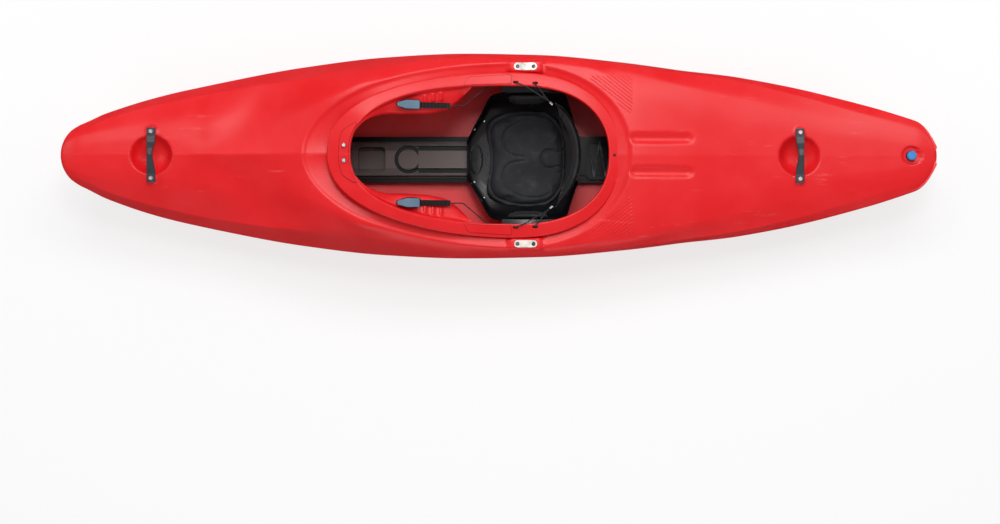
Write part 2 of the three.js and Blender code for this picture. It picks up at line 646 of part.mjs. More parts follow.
// Grab handle over its bowl: feet flat on their pads, waisted and arched between them
function makeHandle(x) {
  const padTop = handlePadTop(x) + fit;
  const foot = handle.span / 2 - handle.shoulder;
  const end = handle.span / 2 + handle.endLength;
  const ys = [end, end - handle.endLength / 3, handle.span / 2, foot, ...ramp(foot, -foot, 6).slice(1, -1),
    -foot, -handle.span / 2, handle.endLength / 3 - end, -end];
  const rings = ys.map((y) => {
    const share = Math.min(1, Math.abs(y) / foot);
    const rise = (1 + Math.cos(Math.PI * share)) / 2;
    const tip = Math.abs(y) === end ? handle.endThickness / 2 : 0;
    const width = handle.endWidth - (handle.endWidth - handle.waist) * rise - tip;
    const thick = handle.endThickness + (handle.middleThickness - handle.endThickness) * rise;
    const low = padTop + handle.arch * rise;
    const edge = thick / 4;
    return [[-width / 2, low + edge], [edge - width / 2, low], [width / 2 - edge, low],
      [width / 2, low + edge], [width / 2, low + thick - edge], [width / 2 - edge, low + thick],
      [edge - width / 2, low + thick],
      [-width / 2, low + thick - edge]].map(([across, z]) => new THREE.Vector3(x + across, y, z));
  });
  const hole = (side) => solidOf(bore(handleBolt.shankRadius + boltPlay, padTop - overrun,
    padTop + overrun, x, side * handle.span / 2));
  return geometryOf(cut(solidOf(loft(rings)), hole(-1), hole(1)));
}

for (const [name, x] of Object.entries(handleStations)) {
  put(`${name}_grab_handle`, makeHandle(x), greyPlastic);
  for (const side of sides) {
    const bolt = put(`${name}_handle_bolt_${sideName(side)}`, boltGeometry(handleBolt), steel);
    bolt.position.set(x, side * handle.span / 2, handlePadTop(x) + handle.endThickness + 2 * fit);
  }
}

// Drain: a flanged sleeve in the deck, a soft ring on its lip and the screw plug
const drainFloor = deckHeight(drain.x, 0) - drain.dishDepth;
const lathe = (profile, steps) => new THREE.LatheGeometry(
  profile.map(([r, z]) => new THREE.Vector2(r, z)), steps).rotateX(Math.PI / 2);

function ringProfile(inner, outer, bottom, top) {
  return [[inner, bottom], [outer, bottom], [outer, top], [inner, top], [inner, bottom]];
}

const sleeve = put('drain_sleeve', lathe([[drain.threadRadius, -drain.sleeveDepth],
  [drain.sleeveRadius, -drain.sleeveDepth], [drain.sleeveRadius, 0], [drain.sleeveLip, 0],
  [drain.sleeveLip, drain.lipHeight], [drain.threadRadius, drain.lipHeight],
  [drain.threadRadius, -drain.sleeveDepth]], bowlSteps), blackPlastic);
const sleeveSeat = drainFloor + fit;
sleeve.position.set(drain.x, 0, sleeveSeat);

const gasketSeat = sleeveSeat + drain.lipHeight + fit;
const gasket = put('drain_gasket', lathe(ringProfile(drain.plugRadius + boltPlay, drain.capRadius - fit,
  0, drain.gasketHeight), bowlSteps), blackRubber);
gasket.position.set(drain.x, 0, gasketSeat);

function makePlug() {
  const grip = range(drain.grips).map((k) => {
    const turn = 2 * Math.PI * k / drain.grips;
    const reach = drain.capRadius + drain.gripDepth / 2;
    return solidOf(post(drain.gripDepth, drain.capHeight / 4, drain.capHeight + overrun,
      reach * Math.cos(turn), reach * Math.sin(turn)));
  });
  const body = solidOf(lathe([[0, -drain.plugDepth], [drain.plugRadius, -drain.plugDepth],
    [drain.plugRadius, 0], [drain.capRadius, 0], [drain.capRadius, drain.capHeight * 3 / 4],
    [drain.capRadius * 3 / 4, drain.capHeight], [0, drain.capHeight]], 2 * drain.grips));
  return geometryOf(cut(body, ...grip));
}

const plug = put('drain_plug', makePlug(), bluePlastic);
plug.position.set(drain.x, 0, gasketSeat + drain.gasketHeight + fit);

const fitCavity = hullCavity(fit); // what fits down to the hull's inner skin is cut to this

// Plan outline of the keyhole: a round end and a straight neck running aft
function keyhole(radius, neck) {
  const opening = Math.asin(neck / radius);
  const arc = ramp(opening, 2 * Math.PI - opening, bowlSteps)
    .map((turn) => [rail.keyX + radius * Math.cos(turn), radius * Math.sin(turn)]);
  return [...arc, [rail.neckRear, -neck], [rail.neckRear, neck]];
}

function makeRail() {
  const flange = solidOf(sidePlate([[rail.front, 0], [rail.rear, 0],
    [rail.rear, rail.flangeTop + keelAt(rail.rear)], [rail.front, rail.flangeTop]],
  -rail.halfWidth, rail.halfWidth));
  const start = rail.front + rail.noseLength;
  const spine = solidOf(sidePlate([[rail.front, 0], [rail.rear, 0], [rail.rear, rail.top],
    [start, rail.top], [rail.front, rail.flangeTop]], -rail.topHalf, rail.topHalf));
  const pocket = solidOf(plate(roundedOutline(rail.pocketFront, rail.pocketRear, -rail.pocketHalf,
    rail.pocketHalf, rail.pocketCorner), rail.top - rail.pocketDepth, rail.top + overrun));
  const keyDepth = rail.top - rail.keyDepth;
  const groove = solidOf(plate(keyhole(rail.keyOuter, rail.neckOuter), keyDepth, rail.top + overrun))
    .subtract(solidOf(plate(keyhole(rail.keyInner, rail.neckInner), keyDepth - overrun,
      rail.top + 2 * overrun)));
  const step = solidOf(box(rail.stepX, rail.stepX + rail.stepWidth, -rail.neckInner, rail.neckInner,
    rail.top - rail.stepDepth, rail.top + overrun));
  return geometryOf(cut(join(flange, spine), pocket, groove, step).intersect(fitCavity));
}

put('centre_rail', makeRail(), greyPlastic);

// Foam pillars that keep the deck off the hull, cut to the hollow
const pillars = {
  bow: { front: placeAt(0.0484), rear: placeAt(0.1589), halfWidth: 28 },
  stern: { front: placeAt(0.6705), rear: placeAt(0.9109), halfWidth: 30 },
};
for (const [name, { front, rear, halfWidth }] of Object.entries(pillars)) {
  put(`${name}_pillar`, geometryOf(solidOf(box(front, rear, -halfWidth, halfWidth, 0, hullDepth))
    .intersect(fitCavity)), foam);
}

// Along the seat: its places, and at each the half floor and half brim as shares of the beam, and the
// brim's and floor's height over the seat's bottom as shares of the depth
const seatPlaces = [-102, -88, -58, -26, 22, 80, 140, 188, 214, 234];
const seatShares = [[0.0492, 0.0852, 0.068, 0.032], [0.0852, 0.1377, 0.0895, 0.0105],
  [0.1344, 0.223, 0.1526, 0], [0.1705, 0.3049, 0.2842, 0], [0.1934, 0.3148, 0.4158, 0],
  [0.2033, 0.3164, 0.4632, 0], [0.1967, 0.3164, 0.4632, 0], [0.1705, 0.3115, 0.4211, 0],
  [0.1082, 0.2164, 0.2737, 0.0105], [0.0721, 0.1213, 0.1632, 0.0263]];
const seatRows = seatShares.map(([floorHalf, brimHalf, brim, rise], k) => [seatPlaces[k],
  floorHalf * hullBeam, brimHalf * hullBeam, brim * hullDepth, rise * hullDepth]);

// One half of the seat's section, from brim to floor, moved inwards from its outer face
function seatSide([, floorHalf, brimHalf, brim, rise], inset) {
  const low = seat.bottom + rise;
  const top = seat.bottom + brim;
  return [[brimHalf - inset, top], [brimHalf - seat.lipOut / 2 - inset, (low + 2 * top) / 3],
    [floorHalf + (brimHalf - floorHalf) * 3 / 4 - inset, low + (top - low) / 4 + inset / 2],
    [floorHalf - inset / 2, low + inset]];
}

const mirrored = (half) => [...half, ...half.map(([y, z]) => [-y, z]).reverse()];

// A body through the seat's sections; the hollow runs past the seat's brim and both its ends
function seatBody(inset, past) {
  const ring = (row) => [[seatSide(row, inset)[0][0], seatSide(row, inset)[0][1] + past],
    ...seatSide(row, inset)];
  const rings = seatRows.map((row) => mirrored(ring(row)).map(([y, z]) => new THREE.Vector3(row[0], y, z)));
  const shifted = (points, dx) => points.map((point) => point.clone().setX(point.x + dx));
  const all = past === 0 ? rings
    : [shifted(rings[0], -past), ...rings, shifted(rings[rings.length - 1], past)];
  return solidOf(loft(past === 0 ? rings.map((points) => points.slice(1, -1)) : all));
}

// The space inside the seat's bucket, down to a small play from its walls
const seatHollow = (play) => seatBody(seat.wall + play, overrun);

const seatWallAt = (x) => along(seatRows, x, 2);
const pivotShare = 0.38947;
const pivot = { x: seat.lugX, z: pivotShare * hullDepth, radius: 5, headRadius: 8, headWidth: 4, tabWall: 5 };

function makeSeat() {
  let pan = seatBody(0, 0).subtract(seatHollow(0));
  for (const side of sides) {
    const order = (a, b) => [side * a, side * b].sort((m, n) => m - n);
    const ear = solidOf(plate(roundedOutline(seat.earFront, seat.earRear,
      ...order(seatWallAt(sidePlateSize.x) - seat.wall, seat.earReach), seat.wall),
    seat.earTop - seat.earThickness, seat.earTop));
    const slot = solidOf(plate(roundedOutline(seat.slotFront, seat.slotRear,
      ...order(sidePlateSize.y - seat.slotHalf, sidePlateSize.y + seat.slotHalf), seat.slotHalf - fit),
    seat.earTop - overrun, seat.earTop + overrun));
    const lug = solidOf(box(seat.lugX - seat.lugLength / 2, seat.lugX + seat.lugLength / 2,
      ...order(seat.lugInner, seat.lugInner + seat.lugWall), seat.bottom + seat.wall * 3, seat.lugTop));
    const hole = solidOf(crossBore(pivot.radius + fit, side * (seat.lugInner - overrun),
      side * (seat.lugInner + overrun), pivot.x, pivot.z));
    pan = pan.add(ear).subtract(slot).add(lug).subtract(hole);
  }
  return geometryOf(pan);
}

put('seat_pan', makeSeat(), blackPlastic);

// Cushions: a crowned body over a flat base, drawn in at its foot
function cushion(outline, bottom, height, topAt, rings) {
  const count = outline.length;
  const middle = outline.reduce((sum, [x, y]) => [sum[0] + x / count, sum[1] + y / count], [0, 0]);
  const ringAt = (share, z) => outline.map(([x, y]) => {
    const px = middle[0] + (x - middle[0]) * share;
    const py = middle[1] + (y - middle[1]) * share;
    return new THREE.Vector3(px, py, z === null ? topAt(px, py, share) : z);
  });
  const crown = ramp(1, 0, rings).slice(0, -1);
  return loft([ringAt(pad.footShare, bottom), ringAt(pad.bulgeShare, bottom + height / 2),
    ...crown.map((share) => ringAt(share * pad.brimShare, null))]);
}

// Seat pad: two buttock hollows, a front roll and a tongue running up to the backrest
const pad = {
  front: -90, rear: 212, halfWidth: 146, corner: 60, outlineSteps: 8, height: 22, roll: 12, hollowDepth: 9,
  hollowX: 92, hollowY: 56, hollowLength: 78, hollowWidth: 44, tongueHalf: 26, tongueFront: 150,
  channelDepth: 5, channelHalf: 5, footShare: 0.95, bulgeShare: 1, brimShare: 0.97, rings: 7,
};
const padBottom = seat.bottom + seat.wall + fit;

function padTop(x, y, share) {
  const edge = Math.sqrt(Math.max(0, 1 - share ** 4));
  const bowlAt = (side) => Math.exp(-(((x - pad.hollowX) / pad.hollowLength) ** 2)
    - (((y - side * pad.hollowY) / pad.hollowWidth) ** 2));
  const rollAt = Math.exp(-(((x - pad.front) / pad.corner) ** 2));
  const tongue = x > pad.tongueFront
    ? Math.exp(-(((Math.abs(y) - pad.tongueHalf) / pad.channelHalf) ** 2)) * pad.channelDepth : 0;
  const low = padBottom + pad.height / 2;
  return low + edge * (pad.height / 2 + pad.roll * rollAt - tongue
    + pad.hollowDepth * (1 - bowlAt(-1) - bowlAt(1)));
}

function smoothOutline(x0, x1, halfWidth, corner, steps) {
  const corners = [[x1 - corner, halfWidth - corner], [x0 + corner, halfWidth - corner],
    [x0 + corner, corner - halfWidth], [x1 - corner, corner - halfWidth]];
  return corners.flatMap(([x, y], quarter) => range(steps).map((k) => {
    const turn = (quarter + k / (steps - 1)) * Math.PI / 2;
    return [x + corner * Math.cos(turn), y + corner * Math.sin(turn)];
  }));
}

put('seat_pad', geometryOf(solidOf(cushion(smoothOutline(pad.front, pad.rear, pad.halfWidth, pad.corner,
  pad.outlineSteps), padBottom, pad.height, padTop, pad.rings)).intersect(seatHollow(fit))), fabric);

// Hip pads: crowned blocks against the seat's side walls
const hipLowShare = 0.30526;
const hipHighShare = 0.56316;
const hipPad = { front: 14, rear: 152, low: hipLowShare * hullDepth, high: hipHighShare * hullDepth,
  thickness: 22, play: 1, cornerShare: 0.35, rings: 8 };

function makeHipPad(side) {
  const length = hipPad.rear - hipPad.front;
  const rings = ramp(0, 1, hipPad.rings).map((share) => {
    const swell = Math.max(hipPad.cornerShare, Math.sin(Math.PI * share)) ** hipPad.cornerShare;
    const x = hipPad.front + length * share;
    const mid = (hipPad.low + hipPad.high) / 2;
    const half = (hipPad.high - hipPad.low) / 2 * swell;
    return range(roundSteps).map((k) => {
      const turn = 2 * Math.PI * k / roundSteps;
      const up = power(Math.sin(turn), 4) * half;
      const inward = (1 + power(Math.cos(turn), 3)) / 2 * hipPad.thickness * swell;
      const z = mid + up;
      return new THREE.Vector3(x, side * (hipWall(z) - inward), z);
    });
  });
  return geometryOf(solidOf(loft(rings)).intersect(seatHollow(fit)));
}

// The inner face of the seat's wall at a height, where the hip pads lie
function hipWall(z) {
  const [, floorHalf, brimHalf, brim] = seatRows[4];
  const quarterHalf = floorHalf + (brimHalf - floorHalf) * 3 / 4;
  const wallShares = [[0, floorHalf], [1 / 4, quarterHalf], [2 / 3, brimHalf - seat.lipOut / 2],
    [1, brimHalf]];
  return along(wallShares, Math.min(1, (z - seat.bottom) / brim)) - seat.wall - hipPad.play;
}

for (const side of sides) put(`hip_pad_${sideName(side)}`, makeHipPad(side), fabric);

// Backrest: a plastic band on two pivots behind the seat, with a padded front
const backRadiusShare = 0.33607;
const backShares = { low: 0.53947, top: 0.88158, endTop: 0.68947 };
const backAft = 8; // the band's rearmost line, behind the pivots
const back = {
  centreX: pivot.x + backAft - backRadiusShare * hullBeam, radius: backRadiusShare * hullBeam, shell: 4,
  pad: 20, spread: 0.87, low: backShares.low * hullDepth, lowRise: 14, top: backShares.top * hullDepth,
  endTop: backShares.endTop * hullDepth, topSpread: 0.28, steps: 18, tabRoot: 4, padInset: 5, channel: 4,
  channels: 5, swellShare: 0.08, crownShare: 0.1,
};

function backTop(turn) {
  const share = Math.max(0, (Math.abs(turn) - back.topSpread) / (back.spread - back.topSpread));
  return back.endTop + (back.top - back.endTop) * Math.sqrt(Math.max(0, 1 - share * share));
}
const backLow = (turn) => back.low + back.lowRise * (turn / back.spread) ** 2;

function backRing(turn, inner, outer, inset) {
  const place = (radius, z) => new THREE.Vector3(back.centreX + radius * Math.cos(turn),
    radius * Math.sin(turn), z);
  return { place, low: backLow(turn) + inset, top: backTop(turn) - inset, inner, outer };
}

function makeBackShell() {
  const rings = ramp(-back.spread, back.spread, back.steps).map((turn) => {
    const { place, low, top } = backRing(turn, 0, 0, 0);
    const inner = back.radius - back.shell;
    return [place(inner, low), place(back.radius, low), place(back.radius, top - back.shell / 2),
      place((inner + back.radius) / 2, top), place(inner, top - back.shell / 2)];
  });
  let band = solidOf(loft(rings));
  for (const side of sides) {
    const near = seat.lugInner + seat.lugWall + fit;
    const rows = [side * near, side * (near + pivot.tabWall)].sort((a, b) => a - b);
    const tab = solidOf(box(pivot.x - seat.lugLength / 2 + 2 * back.shell,
      pivot.x + seat.lugLength / 2 - back.shell, ...rows, pivot.z - pivot.headRadius - pivot.radius / 2,
      back.low + back.tabRoot));
    band = band.add(tab).subtract(solidOf(crossBore(pivot.radius + fit, side * (near - overrun),
      side * (near + overrun), pivot.x, pivot.z)));
  }
  return geometryOf(band);
}

// The padded front has sewn channels that follow the band
function makeBackPad() {
  const rows = 2 * back.channels + 1;
  const rings = ramp(-back.spread, back.spread, back.steps).map((turn) => {
    const share = Math.abs(turn) / back.spread;
    const swell = Math.sqrt(Math.max(back.swellShare, 1 - share ** 4));
    const { place, low, top } = backRing(turn, 0, 0, back.padInset);
    const outer = back.radius - back.shell - fit;
    const front = range(rows).map((k) => {
      const up = k / (rows - 1);
      const crown = Math.sqrt(Math.max(back.crownShare, 1 - (2 * up - 1) ** 4));
      const dent = k % 2 === 0 && k > 0 && k < rows - 1 ? back.channel : 0;
      return place(outer - (back.pad * crown - dent) * swell, low + (top - low) * up);
    });
    return [place(outer, low), ...front, place(outer, top)];
  });
  return loft(rings);
}

const backShell = put('backrest_shell', makeBackShell(), blackPlastic);
const backPad = put('backrest_pad', makeBackPad(), fabric);

// Pivot pins through the seat's lugs and the backrest's tabs
for (const side of sides) {
  const reach = seat.lugWall + pivot.tabWall + 3 * fit;
  const pin = put(`backrest_pin_${sideName(side)}`, lathe([[0, -reach], [pivot.radius, -reach],
    [pivot.radius, 0], [pivot.headRadius, 0], [pivot.headRadius, pivot.headWidth],
    [0, pivot.headWidth]], boltSteps), steel);
  pin.rotation.x = -side * Math.PI / 2;
  pin.position.set(pivot.x, side * (seat.lugInner + reach), pivot.z);
}

// Thigh braces hooked under the rim: a leg against the mouth's edge and a dished shelf
const brace = { firstStep: 16, lastStep: 21, leg: 5, top: 6, drop: 42, shelfTop: 19, reach: 50, shelfFall: 13,
  hook: 12 };

function turnAt(index, side) {
  return (side > 0 ? 1 : -1) * 2 * Math.PI * index / ringSteps;
}

function braceRing(index, side) {
  const outline = [[-fit, -brace.top], [-fit, -brace.drop], [-brace.leg, -brace.drop],
    [-brace.leg, -brace.shelfTop - brace.leg], [-brace.reach, -brace.shelfTop - brace.shelfFall - brace.leg],
    [-brace.reach - brace.leg, -brace.shelfTop - brace.shelfFall - brace.hook],
    [-brace.reach - 2 * brace.leg, -brace.shelfTop - brace.shelfFall - brace.hook],
    [-brace.reach - brace.leg, -brace.shelfTop - brace.shelfFall], [-brace.leg, -brace.shelfTop],
    [-brace.leg, -brace.top]];
  return outline.map(([run, up]) => rimPlace(turnAt(index, side), run, up));
}

// Ratchets on the braces' shelves, laid out along their own straps: x aft, z up from the frame's base
const ratchetShare = 0.654; // of the mouth's nose, ahead of its widest line
const ratchet = {
  x: rimMiddle - ratchetShare * mouthOval.nose, inward: 26, drop: 22, front: -20, rear: 38, halfWidth: 11,
  floor: 2.5, cheek: 2, corner: 4, pawlHeel: 4.5, pawlKnee: 6, pawlNose: 10.5, pawlRise: 2.5, pawlTail: 12,
  pawlTailRise: 3.75,
  landDepth: 9, landEdge: 1.5, headroom: 30, pinX: 24, pinZ: 11.5, pinRadius: 2, pinHead: 3.2,
  pinHeadWidth: 1.2, cheekRadius: 5.5, cheekFront: -4, cheekFrontTop: 13, studX: 3, studZ: 9.5,
  studRadius: 1.5, hubRadius: 4.8, stemHalf: 4, leverFront: -36, leverRear: 30, leverHalf: 12.5,
  leverTipHalf: 5, leverThickness: 3.2, leverTaper: -8, strapFront: -24, strapRear: 125, strapHalf: 8,
  strapThickness: 2.4, toothHeight: 1.2, toothPitch: 10, toothTop: 4, toothRun: 3, toothless: 14,
};
const ratchetPitch = Math.atan2(bandHeight(ratchet.x + ratchet.front) - bandHeight(ratchet.x + ratchet.rear),
  ratchet.rear - ratchet.front);

// Puts a body or mesh laid out along a ratchet's strap in its place in the boat
function atRatchet(object, side) {
  object.rotation.y = ratchetPitch;
  object.position.set(ratchet.x, side * (mouthHalfWidth(ratchet.x) - ratchet.inward),
    bandHeight(ratchet.x) - ratchet.drop);
  object.updateMatrix();
  return object;
}

const ratchetBox = (side, ...limits) => solidOf(box(...limits)
  .applyMatrix4(atRatchet(new THREE.Object3D(), side).matrix));

// Each brace has a flat land let into its shelf under the ratchet
function makeBrace(side) {
  const indices = ramp(brace.firstStep, brace.lastStep, brace.lastStep - brace.firstStep);
  const shelf = solidOf(loft(indices.map((index) => braceRing(index, side))));
  const plan = [ratchet.front - ratchet.landEdge, ratchet.rear + ratchet.landEdge,
    -ratchet.halfWidth - ratchet.landEdge, ratchet.halfWidth + ratchet.landEdge];
  return geometryOf(shelf.subtract(ratchetBox(side, ...plan, 0, ratchet.headroom))
    .add(ratchetBox(side, ...plan, -ratchet.landDepth, 0)));
}
for (const side of sides) put(`thigh_brace_${sideName(side)}`, makeBrace(side), redPlastic);

// Steel side plates on their blocks, with two bolts each down to the seat's ears
function makeSidePlate(side) {
  const { x, y, length, width, thickness, boltPitch } = sidePlateSize;
  const rows = [side * y - width / 2, side * y + width / 2];
  const body = solidOf(plate(roundedOutline(x - length / 2, x + length / 2, ...rows, width / 2 - fit),
    blockTop + fit, blockTop + fit + thickness));
  return geometryOf(cut(body, ...sides.map((end) => solidOf(bore(sideBolt.shankRadius + boltPlay,
    blockTop - overrun, blockTop + overrun, x + end * boltPitch / 2, side * y)))));
}
for (const side of sides) {
  put(`side_plate_${sideName(side)}`, makeSidePlate(side), steel);
  for (const end of sides) {
    const bolt = put(`side_bolt_${sideName(side)}_${end < 0 ? 'front' : 'rear'}`, boltGeometry(sideBolt),
      steel);
    bolt.position.set(sidePlateSize.x + end * sidePlateSize.boltPitch / 2, side * sidePlateSize.y,
      blockTop + sidePlateSize.thickness + 2 * fit);
  }
}

// Footrest: a plate with a foam face on two bent bars, clamped to the hull's sides
const footShares = { low: 0.16842, top: 0.63158 };
const footBarReach = { inward: 21, aft: 35, ahead: 37 };
const foot = {
  plateX: placeAt(0.1822), plateThickness: 5, plateLow: footShares.low * hullDepth,
  plateMiddle: footBoltPlace.z, plateTop: footShares.top * hullDepth, lowHalf: 112,
  middleHalf: 158, topHalf: 104, corner: 14, foam: 18, foamInset: 8,
  barY: footBoltPlace.seat - footBarReach.inward, barThickness: 3, barHalf: 12,
  barRear: footBoltPlace.x + footBarReach.aft, bend: footBoltPlace.x - footBarReach.ahead, slotHalf: 34,
  tuck: 40,  spacerRadius: 9, knobRadius: 13, knobWidth: 16, knobGrips: 6,
};

const footOutline = (inset) => {
  const half = [[foot.lowHalf - inset, foot.plateLow + inset], [foot.middleHalf - inset, foot.plateMiddle],
    [foot.middleHalf - inset - foot.corner / 2, foot.plateMiddle + 3 * foot.corner],
    [foot.topHalf - inset + foot.corner, foot.plateTop - inset - foot.corner],
    [foot.topHalf - inset, foot.plateTop - inset]];
  return [...half, ...half.map(([y, z]) => [-y, z]).reverse()];
};

function footPlate(inset, near, far) {
  const ring = (x) => footOutline(inset).map(([y, z]) => new THREE.Vector3(x, y, z));
  return loft([ring(near), ring(far)]);
}
put('footrest_plate', footPlate(0, foot.plateX - foot.plateThickness, foot.plateX), aluminium);
put('footrest_foam', footPlate(foot.foamInset, foot.plateX + fit, foot.plateX + fit + foot.foam), foam);

function makeFootBar(side) {
  const { x, z } = footBoltPlace;
  const behind = foot.plateX - foot.plateThickness - fit;
  const outside = foot.middleHalf + fit + foot.barThickness;
  const path = [[foot.barRear, foot.barY], [foot.bend, foot.barY], [foot.plateX, outside],
    [behind - foot.barThickness, outside - foot.barThickness],
    [behind - foot.barThickness, foot.middleHalf - foot.tuck]];
  const inner = [[behind, foot.middleHalf - foot.tuck], [behind, outside - foot.barThickness],
    [foot.plateX, outside - foot.barThickness], [foot.bend, foot.barY - foot.barThickness],
    [foot.barRear, foot.barY - foot.barThickness]];
  const outline = [...path, ...inner].map(([px, py]) => [px, side * py]);
  const body = solidOf(plate(side > 0 ? outline : outline.reverse(), z - foot.barHalf, z + foot.barHalf));
  const radius = clearRadius(footBolt.shankRadius + boltPlay);
  const slot = solidOf(box(x - foot.slotHalf, x + foot.slotHalf, ...[side * (foot.barY - overrun),
    side * (foot.barY + overrun)].sort((a, b) => a - b), z - radius, z + radius));
  return geometryOf(body.subtract(slot));
}

for (const side of sides) {
  const { x, z, seat: boltSeat, bossDepth } = footBoltPlace;
  put(`footrest_bar_${sideName(side)}`, makeFootBar(side), aluminium);
  const bolt = put(`footrest_bolt_${sideName(side)}`, boltGeometry(footBolt), steel);
  bolt.rotation.x = -side * Math.PI / 2;
  bolt.position.set(x, side * (boltSeat + fit), z);
  const spacer = cut(solidOf(crossPost(foot.spacerRadius, side * (foot.barY + fit),
    side * (boltSeat - bossDepth - fit), x, z)),
  solidOf(crossBore(footBolt.shankRadius + boltPlay, side * (foot.barY - overrun),
    side * (boltSeat + overrun), x, z))).intersect(fitCavity);
  put(`footrest_spacer_${sideName(side)}`, geometryOf(spacer), blackPlastic);
  const knobOut = foot.barY - foot.barThickness - fit;
  const grips = range(foot.knobGrips).map((k) => {
    const turn = 2 * Math.PI * k / foot.knobGrips;
    const place = [x + foot.knobRadius * Math.cos(turn), z + foot.knobRadius * Math.sin(turn)];
    return solidOf(crossPost(foot.knobRadius / 3, side * (knobOut - foot.knobWidth - overrun),
      side * (knobOut + overrun), ...place));
  });
  const knobBody = crossPost(foot.knobRadius, side * (knobOut - foot.knobWidth), side * knobOut, x, z);
  const knob = cut(solidOf(knobBody), solidOf(crossBore(footBolt.shankRadius + boltPlay,
    side * (knobOut - foot.knobWidth * 3 / 4), side * (knobOut + overrun), x, z)), ...grips);
  put(`footrest_knob_${sideName(side)}`, geometryOf(knob), blackPlastic);
}

// The ratchet's frame: a base plate with two cheeks, round about the lever's pin
function makeRatchetFrame() {
  const { front, rear, halfWidth, floor, cheek, corner, pinX, pinZ, cheekRadius, cheekFront } = ratchet;
  const round = ramp(Math.PI / 2, 0, cornerSteps)
    .map((turn) => [pinX + cheekRadius * Math.cos(turn), pinZ + cheekRadius * Math.sin(turn)]);
  const outline = [[cheekFront, floor / 2], [pinX + cheekRadius, floor / 2], ...round.reverse(),
    [cheekFront, ratchet.cheekFrontTop]];
  const base = solidOf(plate(roundedOutline(front, rear, -halfWidth, halfWidth, corner), fit, floor));
  return geometryOf(cut(join(base, solidOf(sidePlate(outline, -halfWidth, cheek - halfWidth)),
    solidOf(sidePlate(outline, halfWidth - cheek, halfWidth))),
  solidOf(crossBore(ratchet.pinRadius + fit, -overrun, overrun, pinX, pinZ)),
  solidOf(crossBore(ratchet.studRadius + fit, -overrun, overrun, ratchet.studX, ratchet.studZ))));
}

function makeRatchetLever() {
  const { pinX, pinZ, halfWidth, cheek, leverFront, leverRear, leverHalf, leverTipHalf,
    leverTaper } = ratchet;
  const inside = halfWidth - cheek - fit;
  const low = pinZ + ratchet.cheekRadius + fit;
  const outline = [[leverFront, -leverTipHalf], [leverTaper, -leverHalf], [leverRear, -leverHalf],
    [leverRear, leverHalf], [leverTaper, leverHalf], [leverFront, leverTipHalf]];
  return geometryOf(cut(join(solidOf(plate(outline, low, low + ratchet.leverThickness)),
    solidOf(box(pinX - ratchet.stemHalf, pinX + ratchet.stemHalf, -inside, inside, pinZ, low + fit)),
    solidOf(crossPost(ratchet.hubRadius, -inside, inside, pinX, pinZ))),
  solidOf(crossBore(ratchet.pinRadius + fit, -overrun, overrun, pinX, pinZ))));
}

// The pawl: a nose over the strap's teeth, a thumb tail and a stud in each cheek
function makeRatchetPawl() {
  const { studX, studZ, studRadius, halfWidth, cheek, strapThickness, toothHeight } = ratchet;
  const clear = ratchet.floor + fit + strapThickness + toothHeight + fit;
  const inside = halfWidth - cheek - 2 * fit;
  const outline = [[studX - ratchet.pawlHeel, studZ - studRadius], [studX + ratchet.pawlKnee, clear + fit],
    [studX + ratchet.pawlNose, clear], [studX + ratchet.pawlNose, clear + studRadius],
    [studX + studRadius, studZ + ratchet.pawlRise], [studX - ratchet.pawlTail, studZ + ratchet.pawlTailRise],
    [studX - ratchet.pawlTail - fit, studZ + studRadius]];
  return geometryOf(join(solidOf(sidePlate(outline, -inside, inside)),
    solidOf(crossPost(studRadius, fit - halfWidth, halfWidth - fit, studX, studZ))));
}

// The pin's two heads stand just outside the cheeks
function makeRatchetPin() {
  const { pinRadius, pinHead, pinHeadWidth, halfWidth } = ratchet;
  const near = halfWidth + fit;
  const far = near + pinHeadWidth;
  return lathe([[0, -far], [pinHead, -far], [pinHead, -near], [pinRadius, -near], [pinRadius, near],
    [pinHead, near], [pinHead, far], [0, far]], boltSteps).rotateX(Math.PI / 2);
}

// A strap with a row of teeth that slope one way and stand square the other
function makeLadder() {
  const { strapFront, strapRear, strapHalf, strapThickness, toothHeight, toothPitch, toothTop, toothRun,
    toothless } = ratchet;
  const low = ratchet.floor + fit;
  const top = low + strapThickness;
  const count = Math.floor((strapRear - strapFront - 2 * toothless) / toothPitch);
  const teeth = range(count).flatMap((k) => {
    const x = strapRear - toothless - k * toothPitch;
    return [[x, top], [x - toothRun, top + toothHeight], [x - toothTop, top + toothHeight],
      [x - toothTop, top]];
  });
  return geometryOf(solidOf(sidePlate([[strapFront, low], [strapRear, low], [strapRear, top], ...teeth,
    [strapFront, top]], -strapHalf, strapHalf)));
}

for (const side of sides) {
  const name = sideName(side);
  atRatchet(put(`ratchet_frame_${name}`, makeRatchetFrame(), blackPlastic), side);
  atRatchet(put(`ratchet_lever_${name}`, makeRatchetLever(), slatePlastic), side);
  atRatchet(put(`ratchet_pawl_${name}`, makeRatchetPawl(), blackPlastic), side);
  const pin = put(`ratchet_pin_${name}`, makeRatchetPin().translate(ratchet.pinX, 0, ratchet.pinZ), steel);
  atRatchet(pin, side);
  atRatchet(put(`ladder_strap_${name}`, makeLadder(), blackPlastic), side);
}

// A place on the rim's band, on the flat between its two rounded edges
function bandPlace(index, run, lift, side) {
  const turn = turnAt(index, side);
  const width = rimWidth(turn);
  const share = (run - lipRound) / (width - 2 * lipRound);
  return rimPlace(turn, lipRound, 0).lerp(rimPlace(turn, width - lipRound, 0), share)
    .add(new THREE.Vector3(0, 0, lift));
}

// A sheet that lies on the band over whole steps of the rim; its reach gives each step's outer run
function bandSheet({ firstStep, lastStep, inset, lift, thickness }, reachAt, side) {
  const near = lipRound + inset;
  return solidOf(loft(ramp(firstStep, lastStep, lastStep - firstStep).map((index) => [[near, lift],
    [reachAt(index), lift], [reachAt(index), lift + thickness], [near, lift + thickness]]
    .map(([run, up]) => bandPlace(index, run, up, side)))));
}

